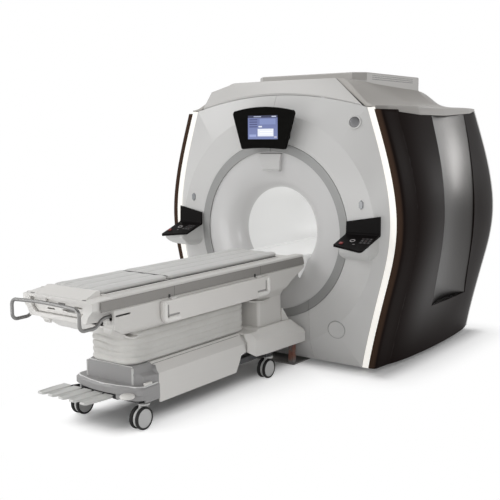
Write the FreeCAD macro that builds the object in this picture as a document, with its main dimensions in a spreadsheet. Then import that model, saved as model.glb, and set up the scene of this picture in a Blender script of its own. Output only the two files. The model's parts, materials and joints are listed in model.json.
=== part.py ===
import FreeCAD, Part
import math
import os
import Sketcher

# A wide-bore MRI scanner with its wheeled patient table, docked.  Millimetres.
# +Z is up, the bore runs along Y and the table stands in front, towards -Y.
# The origin is on the floor, below the point where the bore axis crosses X = Y = 0.

V = FreeCAD.Vector
doc = FreeCAD.newDocument("mri_scanner")

# ---------------------------------------------------------------- driving values
VALUES = {
    # gantry covers
    "iso_height": 1070, "bore_radius": 350, "front_depth": 900, "rim_depth": 815,
    "crease_radius": 937, "crease_depth": 885, "cover_gap": 3, "cover_wall": 25,
    "cover_foot": 35, "crown_height": 2158, "corner_height": 2045, "panel_half": 361,
    "ring_outer": 712, "ring_inner": 643, "ring_thick": 14, "strip_wide": 62,
    "strip_thick": 6, "side_wall": 20, "inset_depth": 46, "deck_height": 2280,
    "turret_half": 490, "turret_left": 590, "turret_front": 300, "turret_rear": 780, "turret_height": 2350,
    # inner machine
    "vessel_radius": 880, "vessel_bore": 460, "vessel_front": 640, "vessel_rear": 760, "vessel_wall": 40,
    "gradient_outer": 456, "gradient_inner": 380,
    "body_coil_inner": 362, "liner_wall": 8, "bed_height": 160,
    # display and panels
    "display_depth": 1014, "screen_wide": 288, "screen_high": 186,
    # table
    "rail_half": 325, "rail_height": 905, "table_foot": 3170, "table_head": 925,
    "shell_floor": 612, "cradle_half": 235, "cradle_thick": 26,
    "cradle_foot": 3020, "cradle_head": 1100, "pad_thick": 30, "pad_seam": 2400,
    "skirt_top": 395, "skirt_half": 300, "bellows_half": 195, "frame_height": 165,
    "wheel_radius": 75, "wheel_wide": 24, "caster_half": 270, "caster_foot": 2720,
    "caster_head": 1340, "caster_trail": 30, "pedal_wide": 78, "pedal_long": 235,
    "board_thick": 24, "board_high": 146, "handle_tube": 22,
}

sheet = doc.addObject("Spreadsheet::Sheet", "Params")
for row, (alias, number) in enumerate(VALUES.items(), start=1):
    sheet.set("A%d" % row, alias)
    sheet.set("B%d" % row, str(number))
    sheet.setAlias("B%d" % row, alias)
doc.recompute()


def val(alias):
    """One number of the sheet."""
    return float(sheet.get(alias))


# ---------------------------------------------------------------- sketch helpers
def new_body(label):
    body = doc.addObject("PartDesign::Body", label)
    body.Label = label
    return body


def sketch(body, role, offset=0.0, expression=None):
    """An empty sketch on one origin plane; offset runs along that plane's normal."""
    sk = body.newObject("Sketcher::SketchObject", "Sketch")
    planes = [f for f in body.Origin.OriginFeatures if f.Role == role]
    sk.AttachmentSupport = (planes[0], [""])
    sk.MapMode = "FlatFace"
    sk.AttachmentOffset = FreeCAD.Placement(V(0, 0, offset), FreeCAD.Rotation())
    if expression:
        sk.setExpression("AttachmentOffset.Base.z", expression)
    return sk


def vec(p):
    return V(p[0], p[1], 0)


def curve_through(points):
    """One cubic spline through the points."""
    spline = Part.BSplineCurve()
    spline.interpolate([vec(p) for p in points])
    return spline


def near_end(sk, index, point):
    """Which end of a sketch edge, 1 or 2, lies at the point."""
    near = sk.getPoint(index, 1).distanceToPoint(point)
    far = sk.getPoint(index, 2).distanceToPoint(point)
    return 1 if near <= far else 2


def outline(sk, start, *steps):
    """A closed outline: a step is a point (line), ("arc", mid, end) or ("curve", points)."""
    first = len(sk.Geometry)
    corners = [start]
    for step in steps:
        here = corners[-1]
        if step[0] == "arc":
            edge = Part.Arc(vec(here), vec(step[1]), vec(step[2]))
            corners.append(step[2])
        elif step[0] == "curve":
            edge = curve_through([here] + list(step[1]))
            corners.append(step[1][-1])
        else:
            edge = Part.LineSegment(vec(here), vec(step))
            corners.append(step)
        sk.addGeometry(edge, False)
    if vec(corners[-1]).distanceToPoint(vec(start)) > 1e-6:
        sk.addGeometry(Part.LineSegment(vec(corners[-1]), vec(start)), False)
        corners.append(start)
    count = len(sk.Geometry) - first
    for k in range(count):
        this, other = first + k, first + (k + 1) % count
        corner = vec(corners[k + 1])
        ends = (near_end(sk, this, corner), near_end(sk, other, corner))
        sk.addConstraint(Sketcher.Constraint("Coincident", this, ends[0], other, ends[1]))
    return sk


def circle(sk, x, y, radius, expression=None):
    """A circle whose radius can follow the sheet."""
    index = sk.addGeometry(Part.Circle(vec((x, y)), V(0, 0, 1), radius), False)
    number = sk.addConstraint(Sketcher.Constraint("Radius", index, radius))
    if expression:
        sk.setExpression("Constraints[%d]" % number, expression)
    return sk


def box_outline(sk, x0, y0, x1, y1):
    return outline(sk, (x0, y0), (x1, y0), (x1, y1), (x0, y1))


def round_box(sk, x0, y0, x1, y1, r):
    """A rectangle with rounded corners."""
    d = r * (1 - 0.5 ** 0.5)
    return outline(sk, (x0 + r, y0), (x1 - r, y0), ("arc", (x1 - d, y0 + d), (x1, y0 + r)),
                   (x1, y1 - r), ("arc", (x1 - d, y1 - d), (x1 - r, y1)),
                   (x0 + r, y1), ("arc", (x0 + d, y1 - d), (x0, y1 - r)),
                   (x0, y0 + r), ("arc", (x0 + d, y0 + d), (x0 + r, y0)))


# --------------------------------------------------------------- feature helpers
def feature(body, kind, sk):
    """One feature made from a sketch."""
    made = body.newObject(kind, kind.split("::")[1])
    made.Profile = sk
    sk.Visibility = False
    return made


def extruded(body, kind, sk, length, reverse, midplane):
    """A pad or pocket whose length is a number or an expression of the sheet."""
    made = feature(body, kind, sk)
    made.Reversed = reverse
    made.Midplane = midplane
    if isinstance(length, str):
        made.setExpression("Length", length)
    elif length:
        made.Length = length
    else:
        made.Type = "ThroughAll"
    return made


def pad(body, sk, length, reverse=False, midplane=False):
    """Adds the sketch's shape over a length."""
    return extruded(body, "PartDesign::Pad", sk, length, reverse, midplane)


def pocket(body, sk, length=None, reverse=False, midplane=False):
    """Cuts the sketch's shape away; with no length it cuts through everything."""
    return extruded(body, "PartDesign::Pocket", sk, length, reverse, midplane)


def turned(body, sk, axis, groove=False):
    """A full turn of the sketch about one of its axes, added or cut."""
    kind = "PartDesign::Groove" if groove else "PartDesign::Revolution"
    made = feature(body, kind, sk)
    made.ReferenceAxis = (sk, [axis])
    made.Angle = 360
    return made


def lofted(body, sketches, ruled=True, cut=False):
    """A loft through the sketches, added or cut."""
    kind = "PartDesign::SubtractiveLoft" if cut else "PartDesign::AdditiveLoft"
    made = feature(body, kind, sketches[0])
    made.Sections = sketches[1:]
    made.Ruled = ruled
    for sk in sketches[1:]:
        sk.Visibility = False
    return made


def edges_where(shape, test):
    """Names of the edges whose middle point passes the test."""
    names = []
    for k, edge in enumerate(shape.Edges, start=1):
        middle = edge.valueAt((edge.FirstParameter + edge.LastParameter) / 2)
        if test(middle, edge):
            names.append("Edge%d" % k)
    return names


def softened(body, radius, test, chamfer=False):
    """A fillet or chamfer on the edges of the body's tip that pass the test."""
    doc.recompute()
    tip = body.Tip
    names = edges_where(tip.Shape, test)
    kind = "PartDesign::Chamfer" if chamfer else "PartDesign::Fillet"
    made = body.newObject(kind, kind.split("::")[1])
    made.Base = (tip, names)
    if chamfer:
        made.Size = radius
    else:
        made.Radius = radius
    return made


def mirrored(label, source, normal=V(1, 0, 0)):
    """The left-hand twin of a right-hand piece."""
    twin = doc.addObject("Part::Mirroring", label)
    twin.Label = label
    twin.Source = source
    twin.Normal = normal
    return twin


def pair_of(label, right):
    """A right-hand piece and its left-hand twin as one node of two solids."""
    twin = mirrored(label + "_twin", right)
    pair = doc.addObject("Part::Compound", label)
    pair.Label = label
    pair.Links = [right, twin]
    return pair


def boolean(kind, label, base, tool):
    """Part::Cut, Part::Common or Part::Fuse of two objects."""
    made = doc.addObject(kind, label)
    made.Label = label
    made.Base = base
    made.Tool = tool
    return made


def block(label, low, high):
    """A plain box used as a tool."""
    box = doc.addObject("Part::Box", label)
    box.Label = label
    box.Length, box.Width, box.Height = (high[k] - low[k] for k in range(3))
    box.Placement.Base = V(*low)
    return box


def bore_sketch(body):
    """A sketch of (y, radius) pairs: its horizontal axis is the bore axis."""
    sk = sketch(body, "YZ_Plane")
    sk.setExpression("AttachmentOffset.Base.y", "Params.iso_height")
    return sk


def front_sketch(body, depth, expression=None):
    """A sketch in the plane y = -depth; its x is X and its y is Z."""
    return sketch(body, "XZ_Plane", depth, expression)


# ------------------------------------------------------------------ cover curves
ISO = val("iso_height")
CORNER = val("corner_height")
CROWN = val("crown_height")
FOOT = val("cover_foot")

# the barrel profile of the side cover's front edge, as (x, z)
BARREL = [(862, FOOT), (926, 342), (1004, 655), (1070, 945), (1087, 1180),
          (1059, 1431), (988, 1719), (884, CORNER)]
# the edge of the front cover, one light strip further in
RIM = [(x - val("strip_wide"), z) for x, z in BARREL]
# how far the barrel swells towards the middle of the machine, as (y, growth)
SWELL = [(-809, 0), (-700, 48), (-571, 82), (-250, 117), (150, 127), (550, 114),
         (800, 93), (990, 57)]


def steps_of(curve):
    """A spline step through the points after the first."""
    return ("curve", curve[1:])


def flipped(curve):
    """The same curve on the left, run the other way."""
    return [(-x, z) for x, z in reversed(curve)]


def cover_face(sk, inset=0.0):
    """The front cover's outline: two barrel sides, an arched crown and a straight foot."""
    right = [(x - inset, z) for x, z in RIM]
    right[0] = (right[0][0], FOOT + inset)
    right[-1] = (right[-1][0], CORNER - inset)
    left = flipped(right)
    return outline(sk, right[0], steps_of(right), ("arc", (0, CROWN - inset), left[0]),
                   steps_of(left))


def plateau(sk, radius):
    """A circle about the bore in four arcs, cut where the cover's corners point."""
    def at(x, z):
        length = (x * x + z * z) ** 0.5
        return (radius * x / length, ISO + radius * z / length)
    low, high = RIM[0], RIM[-1]
    foot_right, top_right = at(low[0], low[1] - ISO), at(high[0], high[1] - ISO)
    foot_left, top_left = (-foot_right[0], foot_right[1]), (-top_right[0], top_right[1])
    return outline(sk, foot_right, ("arc", (radius, ISO), top_right),
                   ("arc", (0, ISO + radius), top_left), ("arc", (-radius, ISO), foot_left),
                   ("arc", (0, ISO - radius), foot_right))


# ================================================================= GANTRY COVERS
def build_front_covers():
    """One domed shell, split into right, left and lower covers as the real one is."""
    shell = new_body("cover_shell")
    wall, flat_radius = val("cover_wall"), 750
    back = cover_face(front_sketch(shell, 775))
    rim = cover_face(front_sketch(shell, val("rim_depth"), "Params.rim_depth"))
    crease = plateau(front_sketch(shell, val("crease_depth"), "Params.crease_depth"),
                     val("crease_radius"))
    flat = plateau(front_sketch(shell, val("front_depth"), "Params.front_depth"), flat_radius)
    lofted(shell, [back, rim, crease, flat])
    inner_back = cover_face(front_sketch(shell, 774), wall)
    inner_rim = cover_face(front_sketch(shell, val("rim_depth") - 12), wall)
    inner_crease = plateau(front_sketch(shell, val("crease_depth") - wall),
                           val("crease_radius") - wall)
    inner_flat = plateau(front_sketch(shell, val("front_depth") - wall), flat_radius)
    lofted(shell, [inner_back, inner_rim, inner_crease, inner_flat], cut=True)
    hole = front_sketch(shell, 950)
    hole.setExpression("AttachmentOffset.Base.y", "Params.iso_height")
    circle(hole, 0, 0, val("ring_outer") + 3, "Params.ring_outer + Params.cover_gap")
    pocket(shell, hole)

    half = val("panel_half")
    lower_tool = block("lower_tool", (-half - 1, -990, 0), (half + 1, -700, 700))
    lower_keep = block("lower_keep", (-half + 1, -990, 0), (half - 1, -700, 700))
    right_keep = block("right_keep", (1.5, -990, 0), (1300, -700, 2400))
    right_raw = boolean("Part::Common", "right_raw", shell, right_keep)
    right_side = boolean("Part::Cut", "front_cover_right", right_raw, lower_tool)
    mirrored("front_cover_left", right_side)
    boolean("Part::Common", "front_cover_lower", shell, lower_keep)


def build_trim_ring():
    """The grey band round the bore, open at the foot where the table docks."""
    ring = new_body("trim_ring")
    sk = bore_sketch(ring)
    depth, thick = val("front_depth"), val("ring_thick")
    box_outline(sk, -depth - 3, val("ring_inner"), -depth - 3 + thick, val("ring_outer"))
    turned(ring, sk, "H_Axis")
    gap = front_sketch(ring, 950)
    outline(gap, (-165, 360), (-110, 430), (110, 430), (165, 360), (190, 300), (-190, 300))
    pocket(ring, gap)
    seams = front_sketch(ring, val("front_depth") + 4)
    for x in (-val("panel_half"), val("panel_half")):
        box_outline(seams, x - 1.5, 300, x + 1.5, 700)
    box_outline(seams, -1.5, 1700, 1.5, 1800)
    pocket(ring, seams, 5)


def build_flares():
    """The funnel into the bore, its rear twin and the liner between them."""
    r = val("bore_radius")
    front = new_body("front_flare")
    mouth = [(-892, val("ring_inner")), (-886, 575), (-868, 490), (-828, 408), (-778, 362),
             (-735, r)]
    skin = [(y + 9, radius + 8) for y, radius in reversed(mouth)]
    skin[0] = (-735, r + 8)
    skin[-1] = (-880, val("ring_inner"))
    sk = outline(bore_sketch(front), mouth[0], steps_of(mouth), skin[0], steps_of(skin))
    turned(front, sk, "H_Axis")

    liner = new_body("bore_liner")
    sk = bore_sketch(liner)
    box_outline(sk, -735, r, 800, r + val("liner_wall"))
    turned(liner, sk, "H_Axis")

    rear = new_body("rear_flare")
    mouth = [(800, r), (860, 365), (930, 430), (972, 520), (990, 590)]
    skin = [(990, 602), (965, 530), (922, 440), (852, 374), (800, r + 8)]
    sk = outline(bore_sketch(rear), mouth[0], steps_of(mouth), skin[0], steps_of(skin))
    turned(rear, sk, "H_Axis")


def side_section(body, y, growth, wall):
    """A cross-section of the side cover at one place along the machine."""
    outer = [(x + growth, z) for x, z in BARREL]
    inner = [(x - wall, z) for x, z in reversed(outer)]
    return outline(front_sketch(body, -y), outer[0], steps_of(outer), inner[0], steps_of(inner))


def swell_at(y):
    """The growth at any y, straight between the listed places."""
    for (y0, g0), (y1, g1) in zip(SWELL, SWELL[1:]):
        if y <= y1:
            return g0 + (g1 - g0) * (y - y0) / (y1 - y0)
    return SWELL[-1][1]


def barrel_at(z):
    """The barrel's x at any z, straight between the listed points."""
    for (x0, z0), (x1, z1) in zip(BARREL, BARREL[1:]):
        if z <= z1:
            return x0 + (x1 - x0) * (z - z0) / (z1 - z0)
    return BARREL[-1][0]


# the recessed panel's front and rear edges on the side cover, as (z, front y, rear y)
INSET = [(440, -140, 590), (700, -185, 478), (1100, -228, 390), (1450, -195, 430),
         (1750, -150, 520), (2060, -100, 600)]


# the lower edge of the roof's slopes on the side covers, as (y, z)
EAVES = [(-808, 2034), (-700, 2023), (-300, 1990), (150, 1988), (780, 2014), (990, 2037)]


def build_sides():
    """The brown barrel-shaped sides and the silver channel let into each."""
    wall = val("side_wall")
    shell = new_body("side_shell")
    lofted(shell, [side_section(shell, y, growth, wall) for y, growth in SWELL], ruled=False)

    tool = new_body("inset_tool")
    channel = new_body("inset_channel")
    tool_sections, channel_sections = [], []
    for z, y0, y1 in INSET:
        x0 = barrel_at(z) + swell_at(y0) - 3
        x1 = barrel_at(z) + swell_at(y1) - 3
        middle = ((x0 + x1) / 2 - val("inset_depth"), (y0 + y1) / 2)
        back = min(x0, x1) - val("inset_depth") - 14
        tool_sections.append(box_outline(sketch(tool, "XY_Plane", z), back, y0, 1500, y1))
        sk = sketch(channel, "XY_Plane", z)
        channel_sections.append(outline(sk, (back, y0 - 2), (x0, y0 - 2), ("arc", middle, (x1, y1 + 2)),
                                        (back, y1 + 2)))
    lofted(tool, tool_sections, ruled=False)
    lofted(channel, channel_sections, ruled=False)
    eaves = new_body("eaves_tool")
    line = [(y, z - 3) for y, z in EAVES]
    line[0], line[-1] = (-1000, line[0][1]), (1200, line[-1][1])
    side = sketch(eaves, "YZ_Plane")
    outline(side, line[0], *line[1:], (1200, 2400), (-1000, 2400))
    pad(eaves, side, 1600)
    open_side = boolean("Part::Cut", "side_open", shell, tool)
    mirrored("side_cover_left", boolean("Part::Cut", "side_cover_right", open_side, eaves))
    inset = boolean("Part::Common", "inset_raw", channel, tool)
    pair_of("side_insets", boolean("Part::Cut", "side_inset_right", inset, eaves))


def build_light_strips():
    """The lit edge between front cover and side cover, a flange with a web behind it."""
    strip = new_body("light_strip_right")
    rim = val("rim_depth")
    gap = 1.0
    inner = [(x + gap, z) for x, z in RIM]
    outer = [(x, z) for x, z in reversed(BARREL)]
    face = outline(front_sketch(strip, rim - 6), inner[0], steps_of(inner), outer[0],
                   steps_of(outer))
    pad(strip, face, "Params.strip_thick")
    web_outer = [(x - val("side_wall") - gap, z) for x, z in outer]
    web = outline(front_sketch(strip, rim - 6), inner[0], steps_of(inner), web_outer[0],
                  steps_of(web_outer))
    pad(strip, web, "Params.side_wall", reverse=True)
    pair_of("light_strips", strip)


def build_fascia():
    """The visor over the front cover: its right end meets the slope along a ridge."""
    visor = new_body("top_fascia")
    deck, left = val("deck_height"), -760
    near = outline(front_sketch(visor, 812), (782, 2058), ("arc", (0, CROWN + 3), (left, 2066)),
                   (left, 2078), (-500, 2136), ("arc", (140, 2172), (772, 2067)))
    far = outline(front_sketch(visor, 700), (590, 2104), ("arc", (0, CROWN + 3), (left, 2066)),
                  (left, 2212), (-500, deck), ("arc", (0, deck + 2), (478, deck)))
    lofted(visor, [near, far])


def turret_plan(sk, grow=0):
    """The turret from above, wider on the left, with its two front corners cut off."""
    right, left = val("turret_half") + grow, -val("turret_left") - grow
    front, rear = -val("turret_front") - grow, val("turret_rear") + grow
    return outline(sk, (left + 90, front), (right - 90, front), (right, front + 90), (right, rear),
                   (left, rear), (left, front + 90))


def build_turret():
    """The cover over the cold head and the flat decks before and behind it."""
    half, deck, top = val("turret_half"), val("deck_height"), val("turret_height")
    front, rear, base = -val("turret_front"), val("turret_rear"), 2207
    turret = new_body("turret_cover")
    pad(turret, turret_plan(sketch(turret, "XY_Plane", base)), "Params.turret_height - %d" % base)
    left_skirt = sketch(turret, "XY_Plane", base)
    box_outline(left_skirt, -val("turret_left"), front + 90, -val("turret_left") + 30, rear)
    pad(turret, left_skirt, 90, reverse=True)
    hollow = sketch(turret, "XY_Plane", base)
    box_outline(hollow, -val("turret_left") + 30, front + 100, half - 40, rear - 18)
    pocket(turret, hollow, "Params.turret_height - %d" % (base + 18), reverse=True)
    ledge = sketch(turret, "XY_Plane", deck, "Params.deck_height")
    outline(ledge, (-half, -700), (half, -700), (half, front + 90), (half - 90, front), (-half, front))
    pad(turret, ledge, "Params.side_wall", reverse=True)
    tail = sketch(turret, "XY_Plane", 2230)
    outline(tail, (-half, rear), (half, rear), (400, 990), (-400, 990))
    pad(turret, tail, "Params.side_wall", reverse=True)
    softened(turret, 10, lambda p, e: p.z > top - 1)


# the slopes' top lines, as y and (x, z) from the turret outwards: straight at the front,
# hollow at the rear
SLOPES = {
    -808: [(806, 2063), (822, 2061.5), (837, 2060), (852, 2059)],
    -700: [(493, 2280), (592, 2250), (680, 2180), (775, 2106)],
    -300: [(493, 2272), (582, 2216), (690, 2148), (800, 2095)],
    150: [(493, 2250), (566, 2172), (680, 2114), (820, 2080)],
    780: [(493, 2230), (560, 2160), (650, 2104), (810, 2071)],
    990: [(403, 2234), (511, 2169), (590, 2111), (760, 2076)],
}


def build_slopes():
    """The slopes from the turret down to the side covers, whose upper edge they overlap."""
    slope = new_body("top_slope_right")
    thick = val("side_wall")
    sections = []
    for (y, line), (_, eave) in zip(SLOPES.items(), EAVES):
        edge, low = BARREL[-1][0] + swell_at(y), barrel_at(eave) + swell_at(y)
        upper = line + [(edge, CORNER + 12)]
        under = [(edge - thick, CORNER)]
        under += [(x, max(z - thick, CORNER + 5)) for x, z in reversed(line)]
        sections.append(outline(front_sketch(slope, -y), upper[0], steps_of(upper), (edge, CORNER),
                                (low, eave), (low - thick, eave), under[0], *under[1:]))
    lofted(slope, sections)
    tool = new_body("turret_tool")
    pad(tool, turret_plan(sketch(tool, "XY_Plane", 2000), 1.5), 400)
    behind = boolean("Part::Cut", "slope_behind", mirrored("slope_twin", slope), tool)
    shoulder = block("shoulder_tool", (-762, -1000, 2000), (0, -698, 2400))
    left_slope = boolean("Part::Cut", "top_slope_left", behind, shoulder)
    pair = doc.addObject("Part::Compound", "top_slopes")
    pair.Label = "top_slopes"
    pair.Links = [slope, left_slope]


def build_rear_cover():
    """The back of the housing: a plate with the same barrel outline and the roof's line."""
    cover = new_body("rear_cover")
    growth = swell_at(990)
    right = [(x + growth, z) for x, z in BARREL]
    roof = [(right[-1][0], CORNER + 12)] + SLOPES[990][::-1]
    left_roof, left = flipped(roof), flipped(right)
    sk = outline(front_sketch(cover, -990), right[0], steps_of(right), roof[0], steps_of(roof),
                 left_roof[0], steps_of(left_roof), left[0], steps_of(left))
    pad(cover, sk, "Params.side_wall", reverse=True)
    hole = front_sketch(cover, 0)
    hole.setExpression("AttachmentOffset.Base.y", "Params.iso_height")
    circle(hole, 0, 0, 602)
    pocket(cover, hole)


# ================================================================= INNER MACHINE
def tube_body(label, y0, y1, inner, outer):
    """A plain tube about the bore axis."""
    body = new_body(label)
    turned(body, box_outline(bore_sketch(body), y0, inner, y1, outer), "H_Axis")
    return body


def build_magnet():
    """Cryostat, gradient coil and body coil round the bore, on a steel base."""
    r, hole = val("vessel_radius"), val("vessel_bore")
    y0, y1 = -val("vessel_front"), val("vessel_rear")
    vessel = new_body("magnet_vessel")
    sk = outline(bore_sketch(vessel), (y0 + 40, hole), (y1 - 40, hole), (y1, hole + 40),
                 (y1, r - 120), (y1 - 35, r - 35), (y1 - 120, r), (y0 + 120, r),
                 (y0 + 35, r - 35), (y0, r - 120), (y0, hole + 40))
    turned(vessel, sk, "H_Axis")
    wall = val("vessel_wall")
    space = outline(bore_sketch(vessel), (y0 + wall, hole + wall), (y1 - wall, hole + wall),
                    (y1 - wall, r - 125), (y1 - 125, r - wall), (y0 + 125, r - wall),
                    (y0 + wall, r - 125))
    turned(vessel, space, "H_Axis", groove=True)
    neck = sketch(vessel, "XY_Plane", ISO + r - wall)
    circle(neck, 0, 200, 150)
    pad(vessel, neck, "Params.bed_height")
    tube_body("gradient_coil", y0 + 20, y1 - 20, val("gradient_inner"), val("gradient_outer"))
    coil = tube_body("body_coil", y0 + 60, y1 - 60, val("body_coil_inner"), val("gradient_inner") - 8)
    for y in (y0 + 60, y1 - 100):
        ring = bore_sketch(coil)
        box_outline(ring, y, val("gradient_inner") - 8, y + 40, val("gradient_inner"))
        turned(coil, ring, "H_Axis")
    for y in (y0 + 60, y1 - 100):
        ring = bore_sketch(coil)
        box_outline(ring, y, val("bore_radius") + val("liner_wall"), y + 40, val("body_coil_inner"))
        turned(coil, ring, "H_Axis")

    head = new_body("cold_head")
    top = ISO + r - 40 + val("bed_height")
    for radius, height in ((190, 30), (95, 110), (60, 150)):
        step = sketch(head, "XY_Plane", top)
        circle(step, 0, 200, radius)
        pad(head, step, height)

    base = new_body("magnet_base")
    for y in (-420, 540):
        beam = front_sketch(base, -y)
        outline(beam, (-640, 0), (640, 0), (640, 90), (500, 330), (-500, 330), (-640, 90))
        pad(base, beam, "Params.bed_height", midplane=True)
    for x in (-560, 0, 560):
        rail = sketch(base, "XY_Plane")
        box_outline(rail, x - 60, -500, x + 60, 620)
        pad(base, rail, "Params.bed_height * 0.5")
    saddle = front_sketch(base, 800)
    saddle.setExpression("AttachmentOffset.Base.y", "Params.iso_height")
    circle(saddle, 0, 0, r, "Params.vessel_radius")
    pocket(base, saddle)


def build_bridge():
    """The deck that carries the cradle through the bore, on two legs on the liner."""
    bridge = new_body("bore_bridge")
    deck = val("rail_height") - 21
    half = ((val("bore_radius") - 1) ** 2 - (ISO - deck + 14) ** 2) ** 0.5
    foot = ISO - (val("bore_radius") ** 2 - 138 ** 2) ** 0.5
    section = front_sketch(bridge, 735)
    outline(section, (-half, deck), (-236, deck), (-236, deck - 5), (236, deck - 5), (236, deck),
            (half, deck), (half, deck - 14), (138, deck - 14), (138, foot), (120, foot),
            (120, deck - 14), (-120, deck - 14), (-120, foot), (-138, foot), (-138, deck - 14),
            (-half, deck - 14))
    pad(bridge, section, "Params.bore_radius * 2 + Params.vessel_rear", reverse=True)
    nose = front_sketch(bridge, 735)
    side = half - 8
    outline(nose, (-side, deck), (-236, deck), (-236, deck - 5), (236, deck - 5), (236, deck),
            (side, deck), (side, deck - 12), (side - 22, deck - 26), (-side + 22, deck - 26),
            (-side, deck - 12))
    pad(bridge, nose, "Params.ring_outer - 530")


# =============================================================== FITTINGS IN FRONT
def build_display():
    """The patient display above the bore: a black trapezoid on a short neck, and its screen."""
    housing = new_body("display_raw")
    depth = val("display_depth")
    front = front_sketch(housing, depth - 30)
    outline(front, (-190, 1732), ("arc", (0, 1741), (190, 1732)), ("arc", (206, 1735), (213, 1749)),
            (291, 2002), ("arc", (284, 2027), (262, 2036)), ("arc", (0, 2064), (-262, 2036)),
            ("arc", (-284, 2027), (-291, 2002)), (-213, 1749), ("arc", (-206, 1735), (-190, 1732)))
    pad(housing, front, "Params.display_depth - %d" % (depth - 30))
    neck = front_sketch(housing, depth - 30)
    round_box(neck, -185, 1800, 185, 1985, 25)
    pad(housing, neck, depth - 30 - 878, reverse=True)
    wide, high, centre = val("screen_wide"), val("screen_high"), 1904
    recess = front_sketch(housing, depth)
    box_outline(recess, -wide / 2, centre - high / 2, wide / 2, centre + high / 2)
    pocket(housing, recess, "Params.strip_thick")
    boolean("Part::Cut", "display_housing", housing, doc.getObject("cover_shell"))

    screen = new_body("display_screen")
    face = front_sketch(screen, depth - 6)
    box_outline(face, -wide / 2, centre - high / 2, wide / 2, centre + high / 2)
    pad(screen, face, "Params.strip_thick - 2")


def build_small_fittings():
    """The housing inside the flare and the two hexagonal sensors."""
    camera = new_body("camera_body")
    side = sketch(camera, "YZ_Plane")
    outline(side, (-889, 1700), (-921, 1694), (-921, 1640), (-903, 1572), (-912, 1560),
            (-904, 1552), (-866, 1556))
    pad(camera, side, "Params.panel_half - 141", midplane=True)
    for sign in (-1, 1):
        trim = front_sketch(camera, 960)
        outline(trim, (sign * 111, 1705), (sign * 80, 1545), (sign * 130, 1545))
        pocket(camera, trim)
    softened(camera, 7, lambda p, e: p.y < -900 and abs(p.x) > 60)
    boolean("Part::Cut", "camera_housing", camera, doc.getObject("front_flare"))

    sensors = new_body("sensor_right")
    hexagon = front_sketch(sensors, 880)
    outline(hexagon, (820, 1351), (838, 1336), (838, 1296), (820, 1281), (802, 1296), (802, 1336))
    pad(sensors, hexagon, 20)
    softened(sensors, 3, lambda p, e: p.y < -899.9, chamfer=True)
    seated = boolean("Part::Cut", "sensor_seated", sensors, doc.getObject("front_cover_right"))
    pair_of("cover_sensors", seated)


# each control panel has its own frame: turned a little outwards, with y along the tray
PANEL_X, PANEL_Y, PANEL_YAW = 848, -897, 7.4
TRAY_TILT, TRAY_SLOPE = 18.6, 0.336
BUTTONS = {1: (-110, -177), -1: (-70, -190)}


def panel_place(side):
    """Where a panel stands: side is 1 on the right and -1 on the left."""
    return FreeCAD.Placement(V(side * PANEL_X, PANEL_Y, 0),
                             FreeCAD.Rotation(V(0, 0, 1), side * PANEL_YAW))


def tray_height(y):
    """Height of the key tray's top at a place of the panel's own frame."""
    return 1100.7 + TRAY_SLOPE * y


def button_place(side):
    """The stop button's seat on the sloping key tray."""
    x, y = BUTTONS[side]
    seat = FreeCAD.Placement(V(x, y, tray_height(y)), FreeCAD.Rotation(V(1, 0, 0), TRAY_TILT))
    return panel_place(side).multiply(seat)


def build_control_panel(label, side):
    """A folded control panel: an upright back and a sloping key tray with a button seat."""
    panel = new_body(label)
    thick = 15
    fold = tray_height(-14) - thick
    lines = sketch(panel, "YZ_Plane", -170)
    outline(lines, (0, fold + 11), (0, 1240), ("arc", (-2, 1244), (-5, 1245)), (-9, 1243), (-14, 1110),
            ("arc", (-19, 1099), (-30, tray_height(-30))), (-300, tray_height(-300)),
            (-300, tray_height(-300) - thick), (-14, fold), ("arc", (-4, fold + 4), (0, fold + 11)))
    pad(panel, lines, 340)
    plan = sketch(panel, "XY_Plane", 1300)
    box_outline(plan, -220, -350, 220, 60)
    outline(plan, (side * -134, 30), (side * -163, -200), ("arc", (side * -160, -206), (side * -152, -207)),
            (side * 62, -276), ("arc", (side * 82, -273), (side * 93, -252)), (side * 140, 30))
    pocket(panel, plan)
    crown = front_sketch(panel, 60)
    outline(crown, (side * -200, 1179), (side * 200, 1245), (side * 200, 1300), (side * -200, 1300))
    pocket(panel, crown)
    x, y = BUTTONS[side]
    seat = sketch(panel, "XY_Plane")
    seat.AttachmentOffset = FreeCAD.Placement(V(x, y, tray_height(y)),
                                              FreeCAD.Rotation(V(1, 0, 0), TRAY_TILT))
    circle(seat, 0, 0, 17.6)
    pocket(panel, seat, 20, midplane=True)
    panel.Placement = panel_place(side)


def build_brackets():
    """The white consoles that carry the panels, shaped to the cover behind them."""
    bracket = new_body("bracket_raw")
    fold = tray_height(-14) - 15
    lines = sketch(bracket, "YZ_Plane", -118)
    outline(lines, (60, 905), (60, 1160), (0, 1160), (0, fold + 11), ("arc", (-4, fold + 4), (-14, fold)),
            (-218, tray_height(-218) - 15), ("arc", (-214, 985), (-196, 965)),
            ("curve", [(-150, 930), (-90, 909), (-20, 905)]))
    pad(bracket, lines, 230)
    plan = sketch(bracket, "XY_Plane", 1300)
    box_outline(plan, -200, -350, 200, 80)
    outline(plan, (-118, 21), (75, 11), (112, 32), (112, -190), ("arc", (104, -212), (84, -221)),
            (-92, -221), ("arc", (-110, -212), (-118, -190)))
    pocket(bracket, plan)
    front = front_sketch(bracket, 300)
    box_outline(front, -200, 800, 200, 1200)
    outline(front, (-118, 1190), (112, 1190), (112, 985), ("arc", (98, 930), (60, 905)), (-66, 905),
            ("arc", (-104, 930), (-118, 985)))
    pocket(bracket, front)
    bracket.Placement = panel_place(1)
    pair_of("panel_brackets", boolean("Part::Cut", "bracket_right", bracket,
                                      doc.getObject("front_cover_right")))


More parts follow.
